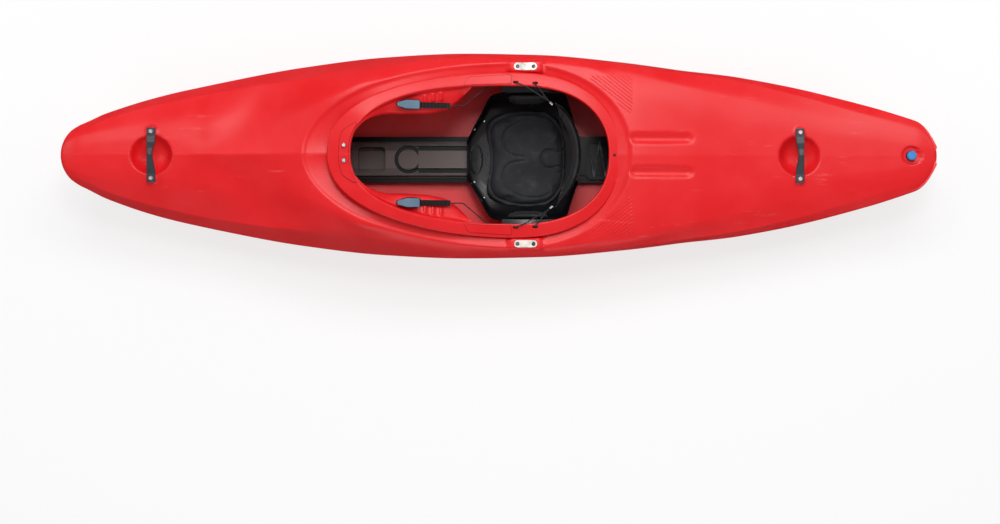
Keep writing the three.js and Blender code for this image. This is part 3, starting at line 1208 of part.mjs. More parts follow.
const plateReach = (index) => (index === rimPlate.firstStep || index === rimPlate.lastStep ? rimPlate.endReach
  : rimPlate.reach);
put('front_rim_plate', geometryOf(cut(bandSheet(rimPlate, plateReach, 1), ...sides.map(rimBoltHole))),
  redPlastic);

for (const side of sides) {
  const bolt = put(`rim_plate_bolt_${sideName(side)}`, boltGeometry(rimBolt), steel);
  bolt.position.set(rimPlate.boltX, side * rimPlate.boltY, bandHeight(rimPlate.boltX) + rimPlate.thickness
    + rimPlate.lift + fit);
  const panelReach = (index) => rimWidth(turnAt(index, side)) - lipRound - rimPanel.inset;
  const trim = solidOf(box(rimPanel.rear, rimPanel.rear + hullBeam, -hullBeam, hullBeam, 0, hullDepth));
  put(`rim_panel_${sideName(side)}`, geometryOf(bandSheet(rimPanel, panelReach, side).subtract(trim)),
    redPlastic);
}

// Cradle behind the seat, laid on the rail, with a cord laced across it
const seatRear = seatRows[seatRows.length - 1][0];
const cradleGap = { front: 28, rear: 30 };
const cradle = { front: seatRear + cradleGap.front, rear: rail.rear - cradleGap.rear, halfWidth: 62, bar: 12,
  corner: 16, thickness: 6, passes: 7, cordRadius: 2, cordSides: 6, cordSteps: 28 };

function makeCradle() {
  const { front, rear, halfWidth, bar, corner, thickness } = cradle;
  const low = rail.top + fit;
  const frame = solidOf(plate(roundedOutline(front, rear, -halfWidth, halfWidth, corner), low,
    low + thickness));
  return geometryOf(frame.subtract(solidOf(plate(roundedOutline(front + bar, rear - bar, bar - halfWidth,
    halfWidth - bar, corner / 2), low - overrun, low + overrun))));
}
put('rear_cradle', makeCradle(), blackPlastic);

const lacingHeight = rail.top + cradle.thickness + 2 * fit + cradle.cordRadius;
const lacingPoints = range(cradle.passes + 1).map((k) => [
  cradle.front + cradle.bar / 2 + (cradle.rear - cradle.front - cradle.bar) * k / cradle.passes,
  (k % 2 === 0 ? 1 : -1) * (cradle.halfWidth - cradle.bar / 2), lacingHeight]);
put('rear_lacing', rod(lacingPoints, cradle.cordRadius, cradle.cordSteps, cradle.cordSides), cordFabric);

// Backrest cords: from the ladder strap's end under the rim, up a slot, over to the crimp on the
// backrest's wing, and back down the second slot
const crimpShare = 0.65789;
const crimpSetIn = 10;
const cord = { radius: 1.8, sides: 6, outSteps: 22, backSteps: 13, apart: 1.6, below: 30, above: 4.5, over: 6,
  lead: 80, crimpRadius: 4, crimpLength: 11, crimpRadial: back.radius - crimpSetIn,
  crimpZ: crimpShare * hullDepth, riseShare: 0.3 };

for (const side of sides) {
  const start = new THREE.Vector3(ratchet.strapRear + fit + cord.radius / 2, 0,
    ratchet.floor + fit + ratchet.strapThickness / 2)
    .applyMatrix4(atRatchet(new THREE.Object3D(), side).matrix);
  const lead = new THREE.Vector3(ratchet.strapRear + 4 * ratchet.toothPitch, 0, 0)
    .applyMatrix4(atRatchet(new THREE.Object3D(), side).matrix);
  const wing = new THREE.Vector3(back.centreX + cord.crimpRadial * Math.cos(back.spread),
    side * cord.crimpRadial * Math.sin(back.spread), cord.crimpZ);
  const heading = new THREE.Vector3(-Math.sin(back.spread), side * Math.cos(back.spread), cord.riseShare)
    .normalize();
  const crimp = put(`cord_crimp_${sideName(side)}`, lathe([[0, 0], [cord.crimpRadius, 0],
    [cord.crimpRadius, cord.crimpLength], [0, cord.crimpLength]], roundSteps), blackPlastic);
  crimp.quaternion.setFromUnitVectors(new THREE.Vector3(0, 0, 1), heading);
  crimp.position.copy(wing).addScaledVector(heading, cord.crimpRadius * cord.riseShare + 2 * fit);
  const mouthOf = (across, ahead) => crimp.position.clone()
    .addScaledVector(heading, cord.crimpLength + fit + cord.radius / 2 + ahead)
    .add(new THREE.Vector3(0, 0, across)).toArray();
  const slotPoint = (k, away, up) => {
    const x = slotPlaces[k];
    return [x + away, side * (mouthHalfWidth(x) + slotInset), bandHeight(x) + up];
  };
  const edgePoint = (x, up) => [x, side * mouthHalfWidth(x), bandHeight(x) + up];
  const out = rod([start.toArray(), lead.toArray(), edgePoint(slotFirst - cord.lead, -cord.below),
    slotPoint(0, -cord.over, -cord.below), slotPoint(0, 0, -cord.below / 2),
    slotPoint(0, cord.over / 2, cord.above), edgePoint(slotPlaces[0] + 5 * cord.over, cord.above),
    mouthOf(cord.apart, 4 * cord.apart), mouthOf(cord.apart, 0)], cord.radius, cord.outSteps, cord.sides);
  const returning = rod([mouthOf(-cord.apart, 0), mouthOf(-cord.apart, 4 * cord.apart),
    edgePoint(slotPlaces[1] + 2 * cord.over, cord.above), slotPoint(1, 0, cord.above / 2),
    slotPoint(1, 0, -cord.below)], cord.radius, cord.backSteps, cord.sides);
  put(`backrest_cord_${sideName(side)}`, geometryOf(join(solidOf(out), solidOf(returning))), cordFabric);
}

export default group;
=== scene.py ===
# %% [markdown]
# # A whitewater kayak, seen from straight above
#
# The boat is a rotomoulded polyethylene shell with an outfitted cockpit. Its solid parts come in as a
# fixed frame, in metres: the bow points along -X, +Z is up and the hull's flat bottom stands on z = 0.
# This lesson gives them their surfaces, and rebuilds the hull's skin, the soft pieces, the cords and
# the small fittings that only a close look shows. Each step says what the real piece is first.

# %% Load the frame
import math

import bmesh
import bpy
import numpy as np
from mathutils import Matrix, Vector


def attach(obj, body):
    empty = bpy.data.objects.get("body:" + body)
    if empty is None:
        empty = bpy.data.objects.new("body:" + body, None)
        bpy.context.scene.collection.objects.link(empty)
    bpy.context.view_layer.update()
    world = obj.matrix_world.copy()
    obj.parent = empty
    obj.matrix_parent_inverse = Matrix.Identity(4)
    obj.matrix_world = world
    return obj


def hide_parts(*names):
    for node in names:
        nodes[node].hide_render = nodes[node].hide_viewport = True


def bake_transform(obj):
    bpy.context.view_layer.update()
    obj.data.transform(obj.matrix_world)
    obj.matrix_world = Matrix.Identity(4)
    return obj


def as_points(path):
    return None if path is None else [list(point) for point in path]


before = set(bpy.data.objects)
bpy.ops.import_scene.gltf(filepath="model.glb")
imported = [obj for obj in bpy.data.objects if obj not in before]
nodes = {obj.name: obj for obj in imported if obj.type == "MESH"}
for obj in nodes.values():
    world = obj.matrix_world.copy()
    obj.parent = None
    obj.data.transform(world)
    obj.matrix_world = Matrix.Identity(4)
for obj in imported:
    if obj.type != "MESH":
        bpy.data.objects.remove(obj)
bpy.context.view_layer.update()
SIDES = ((-1, "port"), (1, "starboard"))

# %% [markdown]
# ## Step 1. The view
#
# The picture is a plan view, shot from high above with a long lens, so the camera looks straight
# down. It stands to port of the boat, which puts the boat in the picture's upper half. The up
# direction of the picture is the boat's starboard side.

# %% Camera
CAMERA_PLACE = (-0.001, -0.314, 5.25)
FIELD_WIDTH = 2.945  # metres across the picture, at the height of the deck
DECK_LEVEL = 0.25

camera_data = bpy.data.cameras.new("plan_view")
camera_data.lens = camera_data.sensor_width * (CAMERA_PLACE[2] - DECK_LEVEL) / FIELD_WIDTH
camera = bpy.data.objects.new("plan_view", camera_data)
camera.location = CAMERA_PLACE
bpy.context.scene.collection.objects.link(camera)
bpy.context.scene.camera = camera
bpy.context.scene.view_settings.view_transform = "Standard"
print("lens", round(camera_data.lens, 1), "mm")

# %% [markdown]
# ## Step 2. The studio
#
# A product picture like this one has a white ground and wide, soft lights. A large lamp overhead
# gives the broad highlights along the deck, and lamps beyond the bow and the stern give each ridge a
# lit and a shaded side. The floor shows white to the camera, and keeps a part of its real shading,
# so that the boat still has its shadow. The hull's sloping sides mirror the floor and the horizon,
# so both are dark to a mirrored ray, and the band along the gunwale stays a deep red.

# %% Helpers for nodes and objects
def feed(tree, socket, value):
    """Links an output to an input, or sets the input to a plain value."""
    if isinstance(value, bpy.types.NodeSocket):
        tree.links.new(value, socket)
    else:
        socket.default_value = value


def add_node(tree, kind, inputs=(), **settings):
    """A shader node of a kind, with its settings; its inputs are fed by sockets or plain values."""
    node = tree.nodes.new("ShaderNode" + kind)
    for setting, value in settings.items():
        setattr(node, setting, value)
    for label, value in dict(inputs).items():
        feed(tree, node.inputs[label], value)
    return node


def math_node(tree, operation, *values, clamp=False):
    """A math node fed by sockets or numbers."""
    return add_node(tree, "Math", enumerate(values), operation=operation, use_clamp=clamp).outputs[0]


def new_material(name):
    """A material with its tree and its Principled shader."""
    material = bpy.data.materials.new(name)
    material.use_nodes = True
    tree = material.node_tree
    return material, tree, tree.nodes["Principled BSDF"]


def object_of(bm, name):
    """An object made of a bmesh, which is used up."""
    mesh = bpy.data.meshes.new(name)
    bm.to_mesh(mesh)
    bm.free()
    made = bpy.data.objects.new(name, mesh)
    bpy.context.scene.collection.objects.link(made)
    return made


# %% Floor
WHITE_SHARE, MIRRORED_FLOOR, HALF_FLOOR = 0.72, 0.06, 20.0


def make_floor():
    """A pale floor that keeps the boat's shadow: whiter to the camera, and dark in a mirror."""
    bm = bmesh.new()
    bmesh.ops.create_grid(bm, x_segments=1, y_segments=1, size=HALF_FLOOR)
    floor = object_of(bm, "floor")
    material, tree, shader = new_material("pale_floor")
    shader.inputs["Base Color"].default_value = (0.9, 0.9, 0.9, 1)
    shader.inputs["Roughness"].default_value = 0.9
    shader.inputs["Specular IOR Level"].default_value = 0.1
    path = add_node(tree, "LightPath")
    seen = math_node(tree, "MULTIPLY", path.outputs["Is Camera Ray"], WHITE_SHARE)
    white = add_node(tree, "Emission", {"Color": (1, 1, 1, 1)})
    paler = add_node(tree, "MixShader", {0: seen, 1: shader.outputs[0], 2: white.outputs[0]})
    dark = add_node(tree, "Emission", {"Strength": MIRRORED_FLOOR})
    mirrored = add_node(tree, "MixShader", {0: path.outputs["Is Glossy Ray"], 1: paler.outputs[0],
                                            2: dark.outputs[0]})
    tree.links.new(mirrored.outputs[0], tree.nodes["Material Output"].inputs["Surface"])
    floor.data.materials.append(material)


make_floor()

# %% Sky
SKY_SEEN, HORIZON, ZENITH, FULL_RISE = 0.97, 0.1, 0.44, 0.6
world = bpy.data.worlds.new("studio")
bpy.context.scene.world = world
world.use_nodes = True
sky = world.node_tree
axes = add_node(sky, "SeparateXYZ", {0: add_node(sky, "TexCoord").outputs["Generated"]})
rise = add_node(sky, "MapRange", {"Value": axes.outputs["Z"], "From Max": FULL_RISE, "To Min": HORIZON,
                                  "To Max": ZENITH})
level = add_node(sky, "MapRange", {"Value": add_node(sky, "LightPath").outputs["Is Camera Ray"],
                                   "To Min": rise.outputs["Result"], "To Max": SKY_SEEN})
sky.nodes["Background"].inputs["Color"].default_value = (1, 1, 1, 1)
sky.links.new(level.outputs["Result"], sky.nodes["Background"].inputs["Strength"])


# %% Lamps
def lamp(name, place, aim, size, watts):
    """A soft square lamp that points at a place on the boat."""
    data = bpy.data.lights.new(name, "AREA")
    data.shape = "RECTANGLE"
    data.size, data.size_y = size
    data.energy = watts
    light = bpy.data.objects.new(name, data)
    light.location = place
    light.rotation_euler = (Vector(aim) - Vector(place)).to_track_quat("-Z", "Y").to_euler()
    bpy.context.scene.collection.objects.link(light)


lamp("overhead", (0.2, 2.7, 4.0), (0, 0, 0.2), (4.2, 1.3), 116)
lamp("top", (0.3, 1.7, 5.6), (0.05, 0, 0.2), (1.2, 1.2), 74)
lamp("port_fill", (0, -4.4, 1.7), (0, 0, 0.2), (3.4, 0.8), 34)
lamp("bow_side", (-3.6, 1.0, 2.0), (-0.3, 0, 0.2), (1.4, 1.4), 16)
lamp("stern_side", (3.4, 1.4, 2.4), (0.4, 0, 0.2), (1.4, 1.4), 14)
print("lamps:", [light.name for light in bpy.data.lights])

# %% [markdown]
# ## Step 3. Helpers for materials
#
# Every finish starts from the Principled shader. A few effects come back on many pieces, so each is
# a node group, built once: the fine grain of a moulded skin, the weave of a cloth, and the scuffs of
# a used boat. A group puts out plain values, and each material decides what they do to its colour,
# roughness and bump.

# %% Node group helpers
def new_group(name, inputs, outputs):
    """An empty node group with named value sockets."""
    group = bpy.data.node_groups.new(name, "ShaderNodeTree")
    for label, value in inputs.items():
        socket = group.interface.new_socket(label, in_out="INPUT", socket_type="NodeSocketFloat")
        socket.default_value = value
    for label in outputs:
        group.interface.new_socket(label, in_out="OUTPUT", socket_type="NodeSocketFloat")
    return group, group.nodes.new("NodeGroupInput"), group.nodes.new("NodeGroupOutput")


def object_coords(tree):
    return add_node(tree, "TexCoord").outputs["Object"]


def noise_node(tree, vector, scale, detail=3, roughness=0.55):
    """A noise texture read at a vector."""
    return add_node(tree, "TexNoise", {"Vector": vector, "Scale": scale, "Detail": detail,
                                       "Roughness": roughness}).outputs["Fac"]


def ramp_node(tree, value, low, high):
    """Maps a value's stretch from low to high onto 0 to 1, smoothly."""
    return add_node(tree, "MapRange", {"Value": value, "From Min": low, "From Max": high},
                    interpolation_type="SMOOTHSTEP").outputs["Result"]


# %% Shared effects
def make_grain_group():
    """The orange-peel skin of moulded plastic: a fine grain over a slow wave."""
    group, given, out = new_group("moulded_grain", {"Grain": 900.0, "Wave": 14.0}, ("Height", "Patches"))
    place = object_coords(group)
    fine = noise_node(group, place, given.outputs["Grain"], 2)
    slow = noise_node(group, place, given.outputs["Wave"], 2)
    height = math_node(group, "ADD", math_node(group, "MULTIPLY", fine, 0.4), slow)
    group.links.new(height, out.inputs["Height"])
    group.links.new(ramp_node(group, slow, 0.35, 0.65), out.inputs["Patches"])
    return group


def make_scuff_group():
    """Short, faint scratches that run mostly along the boat, in patches."""
    group, given, out = new_group("scuffs", {"Scale": 60.0}, ("Mask",))
    coords = object_coords(group)
    stretch = add_node(group, "Mapping", {"Vector": coords, "Scale": (0.12, 1, 0.6),
                                          "Rotation": (0, 0, 0.15)})
    lines = noise_node(group, stretch.outputs[0], given.outputs["Scale"], 4, 0.7)
    patches = noise_node(group, coords, 3.0, 2)
    mask = math_node(group, "MULTIPLY", ramp_node(group, lines, 0.62, 0.7),
                     ramp_node(group, patches, 0.45, 0.6))
    group.links.new(mask, out.inputs["Mask"])
    return group


def make_weave_group():
    """A plain weave: threads over and under each other, read from a surface's own coordinates."""
    group, given, out = new_group("plain_weave", {"Threads": 1400.0}, ("Height", "Mottle"))
    coords = object_coords(group)
    split = add_node(group, "SeparateXYZ", {0: coords})
    side = math_node(group, "ADD", split.outputs["Y"], split.outputs["Z"])
    across, up = (math_node(group, "SINE", math_node(group, "MULTIPLY", place, given.outputs["Threads"]))
                  for place in (split.outputs["X"], side))
    group.links.new(math_node(group, "MULTIPLY", across, up), out.inputs["Height"])
    group.links.new(noise_node(group, coords, 35.0, 4), out.inputs["Mottle"])
    return group


GRAIN = make_grain_group()
SCUFFS = make_scuff_group()
WEAVE = make_weave_group()
print("node groups:", [group.name for group in (GRAIN, SCUFFS, WEAVE)])

# %% [markdown]
# Colours are written as the eight-bit numbers of a paint chart, and turned into Blender's linear
# values here.

# %% Colour and material helpers
def linear(code):
    """Linear colour of a paint code such as 0xdf1219."""
    parts = [((code >> shift) & 255) / 255 for shift in (16, 8, 0)]
    return tuple(v / 12.92 if v <= 0.04045 else ((v + 0.055) / 1.055) ** 2.4 for v in parts) + (1.0,)


def use_group(tree, group, **values):
    """Places a shared effect in a material, with its own values."""
    return add_node(tree, "Group", values, node_tree=group)


def mix_colour(tree, mask, first, second):
    """A colour between two, by a mask; each is a paint code or a socket."""
    node = add_node(tree, "Mix", {"Factor": mask}, data_type="RGBA")
    for label, value in (("A", first), ("B", second)):
        socket = [s for s in node.inputs if s.name == label and s.type == "RGBA"][0]
        feed(tree, socket, linear(value) if isinstance(value, int) else value)
    return [s for s in node.outputs if s.type == "RGBA"][0]


def share_of(tree, effect, amount):
    return math_node(tree, "MULTIPLY", effect, amount)


def set_surface(tree, shader, colour, roughness, height, strength, depth):
    """Feeds what every finish sets: its colour, its roughness and a bump of some depth in metres."""
    bump = add_node(tree, "Bump", {"Height": height, "Strength": strength, "Distance": depth})
    fed = {"Base Color": colour, "Roughness": roughness, "Normal": bump.outputs["Normal"]}
    for label, value in fed.items():
        feed(tree, shader.inputs[label], value)


# %% Plastic, metal, cloth and foam
def plastic(name, colour, worn, roughness, grain=900.0, bump=0.12, scuff=0.5, specular=0.5):
    """Moulded plastic: slow patches of tone, a fine grain, scuffs that are paler and rougher."""
    material, tree, shader = new_material(name)
    skin = use_group(tree, GRAIN, Grain=grain)
    patches, marks = skin.outputs["Patches"], use_group(tree, SCUFFS).outputs["Mask"]
    tone = mix_colour(tree, share_of(tree, patches, 0.25), colour, worn)
    scuffed = mix_colour(tree, share_of(tree, marks, scuff), tone, worn)
    rough = math_node(tree, "ADD", share_of(tree, marks, 0.2), share_of(tree, patches, 0.06))
    shader.inputs["Specular IOR Level"].default_value = specular
    set_surface(tree, shader, scuffed, math_node(tree, "ADD", rough, roughness, clamp=True),
                skin.outputs["Height"], bump, 0.0006)
    return material


def metal(name, colour, roughness, lines=900.0):
    """Brushed metal: fine lines along the piece, and faint smudges."""
    material, tree, shader = new_material(name)
    coords = object_coords(tree)
    stretch = add_node(tree, "Mapping", {"Vector": coords, "Scale": (0.04, 1, 1)})
    brushed = noise_node(tree, stretch.outputs[0], lines, 2)
    smudges = noise_node(tree, coords, 40.0, 3)
    darker = mix_colour(tree, ramp_node(tree, smudges, 0.4, 0.8), colour, 0x8f9296)
    shader.inputs["Metallic"].default_value = 1
    rough = math_node(tree, "ADD", share_of(tree, smudges, 0.25), roughness)
    set_surface(tree, shader, darker, rough, brushed, 0.1, 0.0003)
    return material


def cloth(name, colour, worn, threads=1400.0, bump=0.35, roughness=0.85, sheen=0.15):
    """Woven cover: threads in the bump, and a mottle where it is rubbed."""
    material, tree, shader = new_material(name)
    weave = use_group(tree, WEAVE, Threads=threads)
    rubbed = ramp_node(tree, weave.outputs["Mottle"], 0.45, 0.75)
    rough = math_node(tree, "SUBTRACT", roughness, share_of(tree, rubbed, 0.1))
    shader.inputs["Sheen Weight"].default_value = sheen
    shader.inputs["Sheen Roughness"].default_value = 0.5
    tone = mix_colour(tree, rubbed, colour, worn)
    set_surface(tree, shader, tone, rough, weave.outputs["Height"], bump, 0.0006)
    return material


def foam_skin(name, colour, worn):
    """Closed-cell foam: small open cells and a slow dent here and there."""
    material, tree, shader = new_material(name)
    coords = object_coords(tree)
    cells = add_node(tree, "TexVoronoi", {"Vector": coords, "Scale": 420})
    slow = noise_node(tree, coords, 30.0, 3)
    height = math_node(tree, "ADD", cells.outputs["Distance"], slow)
    set_surface(tree, shader, mix_colour(tree, slow, colour, worn), 0.95, height, 0.4, 0.0012)
    return material


# %% Finishes
RED = 0xdf1219
black_plastic = plastic("black_moulding", 0x0c0d0f, 0x1e2024, 0.42, scuff=0.25, specular=0.25)
black_gloss = plastic("black_band", 0x0c0d10, 0x22242a, 0.24, grain=500.0, bump=0.06, scuff=0.2, specular=0.3)
handle_plastic = plastic("handle_grip", 0x2b3036, 0x474d55, 0.4, grain=1500.0, bump=0.2, scuff=0.4)
slate_plastic = plastic("lever_plate", 0x5b7488, 0x7d909d, 0.34, scuff=0.35, specular=0.3)
back_cloth = cloth("backrest_cover", 0x0e0f13, 0x15171c, roughness=0.7, sheen=0.04)
blue_plastic = plastic("blue_plug", 0x2f7fc4, 0x5b9bd2, 0.32, scuff=0.4)
steel = metal("stainless", 0xd8dadc, 0.22)
plate_steel = metal("satin_plate", 0xe6e0d6, 0.38)
dark_steel = metal("blackened_bolt", 0x4c4a49, 0.34)
aluminium = metal("mill_aluminium", 0xb4b7ba, 0.35, lines=600.0)
rubber = plastic("gasket_rubber", 0x101113, 0x26272a, 0.75, grain=1200.0, scuff=0.1)
foam = foam_skin("pillar_foam", 0x2a2b2e, 0x3a3b3f)
pad_cloth = cloth("pad_cover", 0x15171d, 0x1d2028, roughness=0.72, sheen=0.08)
cord_cloth = cloth("cord_braid", 0x131416, 0x2a2c30, threads=3200.0, bump=0.6)
lace_cloth = cloth("lace_braid", 0x3c3e42, 0x85888c, threads=2600.0, bump=0.7)
print("finishes made:", len(bpy.data.materials))

# %% [markdown]
# ## Step 4. The hull's lines
#
# A boat is drawn as curves along its length: the keel, the sheer (where side meets deck), the ridge
# of the deck and the beam. Each is a short table of shares along the boat, and a smooth curve runs
# through its rows. A section at any place along the boat is then a line from the keel, over the
# chine, up the side and across the deck.

# %% Lines of the hull
LENGTH, BEAM, DEPTH = 2.58, 0.61, 0.38
END = LENGTH / 2
KEEL = ((0, 0.658), (0.035, 0.513), (0.076, 0.353), (0.115, 0.229), (0.155, 0.139), (0.195, 0.074),
        (0.235, 0.029), (0.285, 0), (0.525, 0), (0.588, 0.029), (0.653, 0.053), (0.718, 0.1),
        (0.785, 0.179), (0.851, 0.282), (0.919, 0.397), (1, 0.568))
SHEER = ((0, 0.72), (0.038, 0.6), (0.068, 0.527), (0.107, 0.479), (0.17, 0.463), (0.306, 0.5),
         (0.396, 0.553), (0.467, 0.576), (0.54, 0.576), (0.631, 0.525), (0.693, 0.476), (0.8, 0.454),
         (0.88, 0.479), (0.936, 0.532), (1, 0.605))
RIDGE = ((0, 0.757), (0.02, 0.762), (0.1, 0.747), (0.155, 0.776), (0.235, 0.842), (0.295, 0.905),
         (0.34, 0.918), (0.4, 0.908), (0.46, 0.86), (0.54, 0.79), (0.6, 0.738), (0.653, 0.728),
         (0.718, 0.684), (0.785, 0.634), (0.874, 0.605), (0.93, 0.615), (1, 0.647))
HALF_BEAM = ((0, 0.28), (0.046, 0.411), (0.114, 0.608), (0.183, 0.742), (0.274, 0.88), (0.365, 0.967),
             (0.46, 1), (0.548, 0.986), (0.639, 0.923), (0.731, 0.823), (0.822, 0.689), (0.89, 0.56),
             (0.959, 0.4), (1, 0.28))
# The real boat's nose is finer than that line, and its quarters are fuller
FULLNESS = ((0, 0.96), (0.0097, 0.93), (0.0167, 0.9), (0.0236, 0.912), (0.0302, 0.944), (0.0372, 0.98),
            (0.0442, 1.01), (0.0512, 1.022), (0.0647, 1.028), (0.114, 1.008), (0.16, 1), (0.7, 1),
            (0.78, 1.035), (0.85, 1.045), (0.93, 1.035), (0.97, 1.01), (1, 1))
FLOOR = ((0, 0.45), (0.1, 0.52), (0.2, 0.64), (0.3, 0.73), (0.45, 0.77), (0.55, 0.77), (0.7, 0.72),
         (0.85, 0.6), (1, 0.5))
SIDE = ((0, 0.5, 0.75), (0.1, 0.7, 0.88), (0.23, 0.72, 0.88), (0.33, 0.55, 0.66), (0.7, 0.5, 0.66),
        (1, 0.5, 0.75))
# The deck across: station, then out and up for its edge crease, its lower bend and its shoulder
DECK = ((0, 0.72, 0.6, 0.46, 0.86, 0.22, 0.97), (0.063, 0.82, 0.57, 0.52, 0.85, 0.26, 0.965),
        (0.107, 0.83, 0.53, 0.52, 0.82, 0.26, 0.955), (0.165, 0.85, 0.42, 0.4, 0.82, 0.17, 0.91),
        (0.2275, 0.843, 0.46, 0.67, 0.56, 0.33, 0.79), (0.27, 0.83, 0.54, 0.72, 0.64, 0.42, 0.88),
        (0.316, 0.85, 0.56, 0.76, 0.74, 0.56, 0.96), (0.345, 0.87, 0.56, 0.8, 0.74, 0.68, 0.93),
        (0.3826, 0.9, 0.5, 0.82, 0.7, 0.73, 0.82), (0.4189, 0.92, 0.42, 0.855, 0.58, 0.79, 0.68),
        (0.461, 0.94, 0.32, 0.9, 0.44, 0.85, 0.54), (0.54, 0.97, 0.22, 0.94, 0.36, 0.9, 0.46),
        (0.6, 0.965, 0.3, 0.92, 0.5, 0.88, 0.62), (0.653, 0.965, 0.36, 0.86, 0.68, 0.6, 0.88),
        (0.727, 0.95, 0.4, 0.76, 0.78, 0.42, 0.94), (0.8, 0.91, 0.43, 0.67, 0.8, 0.36, 0.95),
        (0.854, 0.87, 0.46, 0.59, 0.82, 0.32, 0.96), (0.92, 0.8, 0.55, 0.56, 0.82, 0.3, 0.96),
        (1, 0.75, 0.6, 0.5, 0.86, 0.25, 0.97))
CHINE_WIDTH, CHINE_HEIGHT = 0.012, 0.017
CAP = 0.062  # the rounded last stretch of each end


# %% A smooth curve through a table
def along(rows, at, column=1):
    """Value between the rows, smooth and with no overshoot."""
    last = len(rows) - 1
    if at <= rows[0][0]:
        return rows[0][column]
    if at >= rows[last][0]:
        return rows[last][column]
    row = 0
    while at > rows[row + 1][0]:
        row += 1

    def slope(k):
        return (rows[k + 1][column] - rows[k][column]) / (rows[k + 1][0] - rows[k][0])

    def tangent(k):
        if k in (0, last):
            return slope(0 if k == 0 else last - 1)
        product = slope(k - 1) * slope(k)
        return 0 if product <= 0 else 2 * product / (slope(k - 1) + slope(k))

    span = rows[row + 1][0] - rows[row][0]
    u = (at - rows[row][0]) / span
    return (rows[row][column] * (1 + 2 * u) * (1 - u) ** 2 + tangent(row) * span * u * (1 - u) ** 2
            + rows[row + 1][column] * u * u * (3 - 2 * u) - tangent(row + 1) * span * u * u * (1 - u))


def hull_lines(x):
    """Keel, sheer, ridge, half beam and the deck's line across, at a place along the boat."""
    at = x / LENGTH + 0.5
    drawn = along(HALF_BEAM, at) * BEAM / 2
    half = drawn * along(FULLNESS, at)
    sheer, ridge = along(SHEER, at) * DEPTH, along(RIDGE, at) * DEPTH
    deck = [(0.0, ridge)]
    for column, reach in ((5, drawn), (3, drawn), (1, half)):
        deck.append((along(DECK, at, column) * reach, sheer + along(DECK, at, column + 1) * (ridge - sheer)))
    deck.append((half, sheer))
    return {"half": half, "sheer": sheer, "ridge": ridge, "keel": along(KEEL, at) * DEPTH, "deck": deck,
            "floor": along(FLOOR, at) * half, "up": along(SIDE, at, 1), "out": along(SIDE, at, 2)}


def deck_height(x, y):
    """Height of the bare deck over a place in plan."""
    return along(hull_lines(x)["deck"], abs(y))


HANDLES = {"bow": (0.1039 - 0.5) * LENGTH, "stern": (0.843 - 0.5) * LENGTH}
print("deck at the handles:", {name: round(deck_height(x, 0), 4) for name, x in HANDLES.items()})

# %% [markdown]
# ## Step 5. The cockpit's ovals
#
# The cockpit is four ovals round one middle: the mouth, the rim's lip, the rim's wall and the dish
# in the deck. Each has a long nose and a short tail, so a point on one is found from a turn round
# the middle. A second way to read them, by the angle of a place in plan, tells how far inside or
# outside an oval that place is.

# %% Ovals of the cockpit
RIM_MIDDLE = 0.0155 * LENGTH
RIM = (0.3984 * BEAM, 0.2093 * LENGTH, 0.1209 * LENGTH, 2, 2.3, 2.25)
MOUTH = (RIM[0] - 0.041, RIM[1] - 0.069, RIM[2] - 0.034, 2.5, 2.4, 2.3)
DISH = (RIM[0] + 0.023, RIM[1] + 0.068, RIM[2] + 0.03, 2, 2.2, 2)
RIM_HEIGHT = ((0.306, 0.979), (0.329, 0.995), (0.349, 0.992), (0.365, 0.966), (0.405, 0.897),
              (0.43, 0.845), (0.467, 0.778), (0.493, 0.75), (0.547, 0.729), (0.594, 0.726), (0.633, 0.718))
BAND_FALL, BAND_THICK, LIP_HEIGHT, LIP_ROUND, LIP_REACH = 0.01, 0.007, 0.015, 0.005, 0.022
MOUTH_DROP, DISH_DEPTH, DISH_STEP, WALL = 0.018, 0.014, 0.005, 0.006


def squarish(value, power):
    """A sine or cosine bent so that a circle turns squarer as the power grows past two."""
    return math.copysign(abs(value) ** (2 / power), value)


def oval_point(oval, turn):
    """A point of an oval: half width, nose, tail and the three powers that square it off."""
    half, nose, tail, nose_power, tail_power, side_power = oval
    c = math.cos(turn)
    run = nose * squarish(c, nose_power) if c < 0 else tail * squarish(c, tail_power)
    return Vector((RIM_MIDDLE + run, half * squarish(math.sin(turn), side_power)))


def band_height(x):
    """Height of the rim's band at a place along the boat."""
    return along(RIM_HEIGHT, x / LENGTH + 0.5) * DEPTH


def rim_width(turn):
    return (oval_point(RIM, turn) - oval_point(MOUTH, turn)).length


def rim_place(turn, run, up):
    """A place on the rim: run outwards from the mouth, and height over the band."""
    mouth, lip = oval_point(MOUTH, turn), oval_point(RIM, turn)
    share = run / (lip - mouth).length
    spot = mouth.lerp(lip, min(1, share))
    return Vector((spot.x, spot.y, band_height(spot.x) - BAND_FALL * max(0, share) + up))


def mouth_half_width(x):
    """Half the mouth's width at a place along the boat."""
    half, nose, tail, nose_power, tail_power, side_power = MOUTH
    reach, shape = (nose, nose_power) if x < RIM_MIDDLE else (tail, tail_power)
    return half * (1 - min(1, abs((x - RIM_MIDDLE) / reach)) ** shape) ** (1 / side_power)


# %% Look-up of an oval by angle
def radius_table(point_at):
    spots = [point_at(-math.pi + 2 * math.pi * k / 720) for k in range(721)]
    angles = [math.atan2(spot[1], spot[0] - RIM_MIDDLE) for spot in spots]
    angles[0], angles[-1] = -math.pi, math.pi
    radii = [math.hypot(spot[0] - RIM_MIDDLE, spot[1]) for spot in spots]
    return angles, radii


DISH_TABLE = radius_table(lambda turn: oval_point(DISH, turn))
WALL_TABLE = radius_table(lambda turn: rim_place(turn, rim_width(turn) - LIP_REACH - WALL / 2, 0))


def oval_radius(table, angle):
    return float(np.interp(angle, *table))


print("rim", round(RIM[1] + RIM[2], 3), "m long and", round(2 * RIM[0], 3), "m wide")

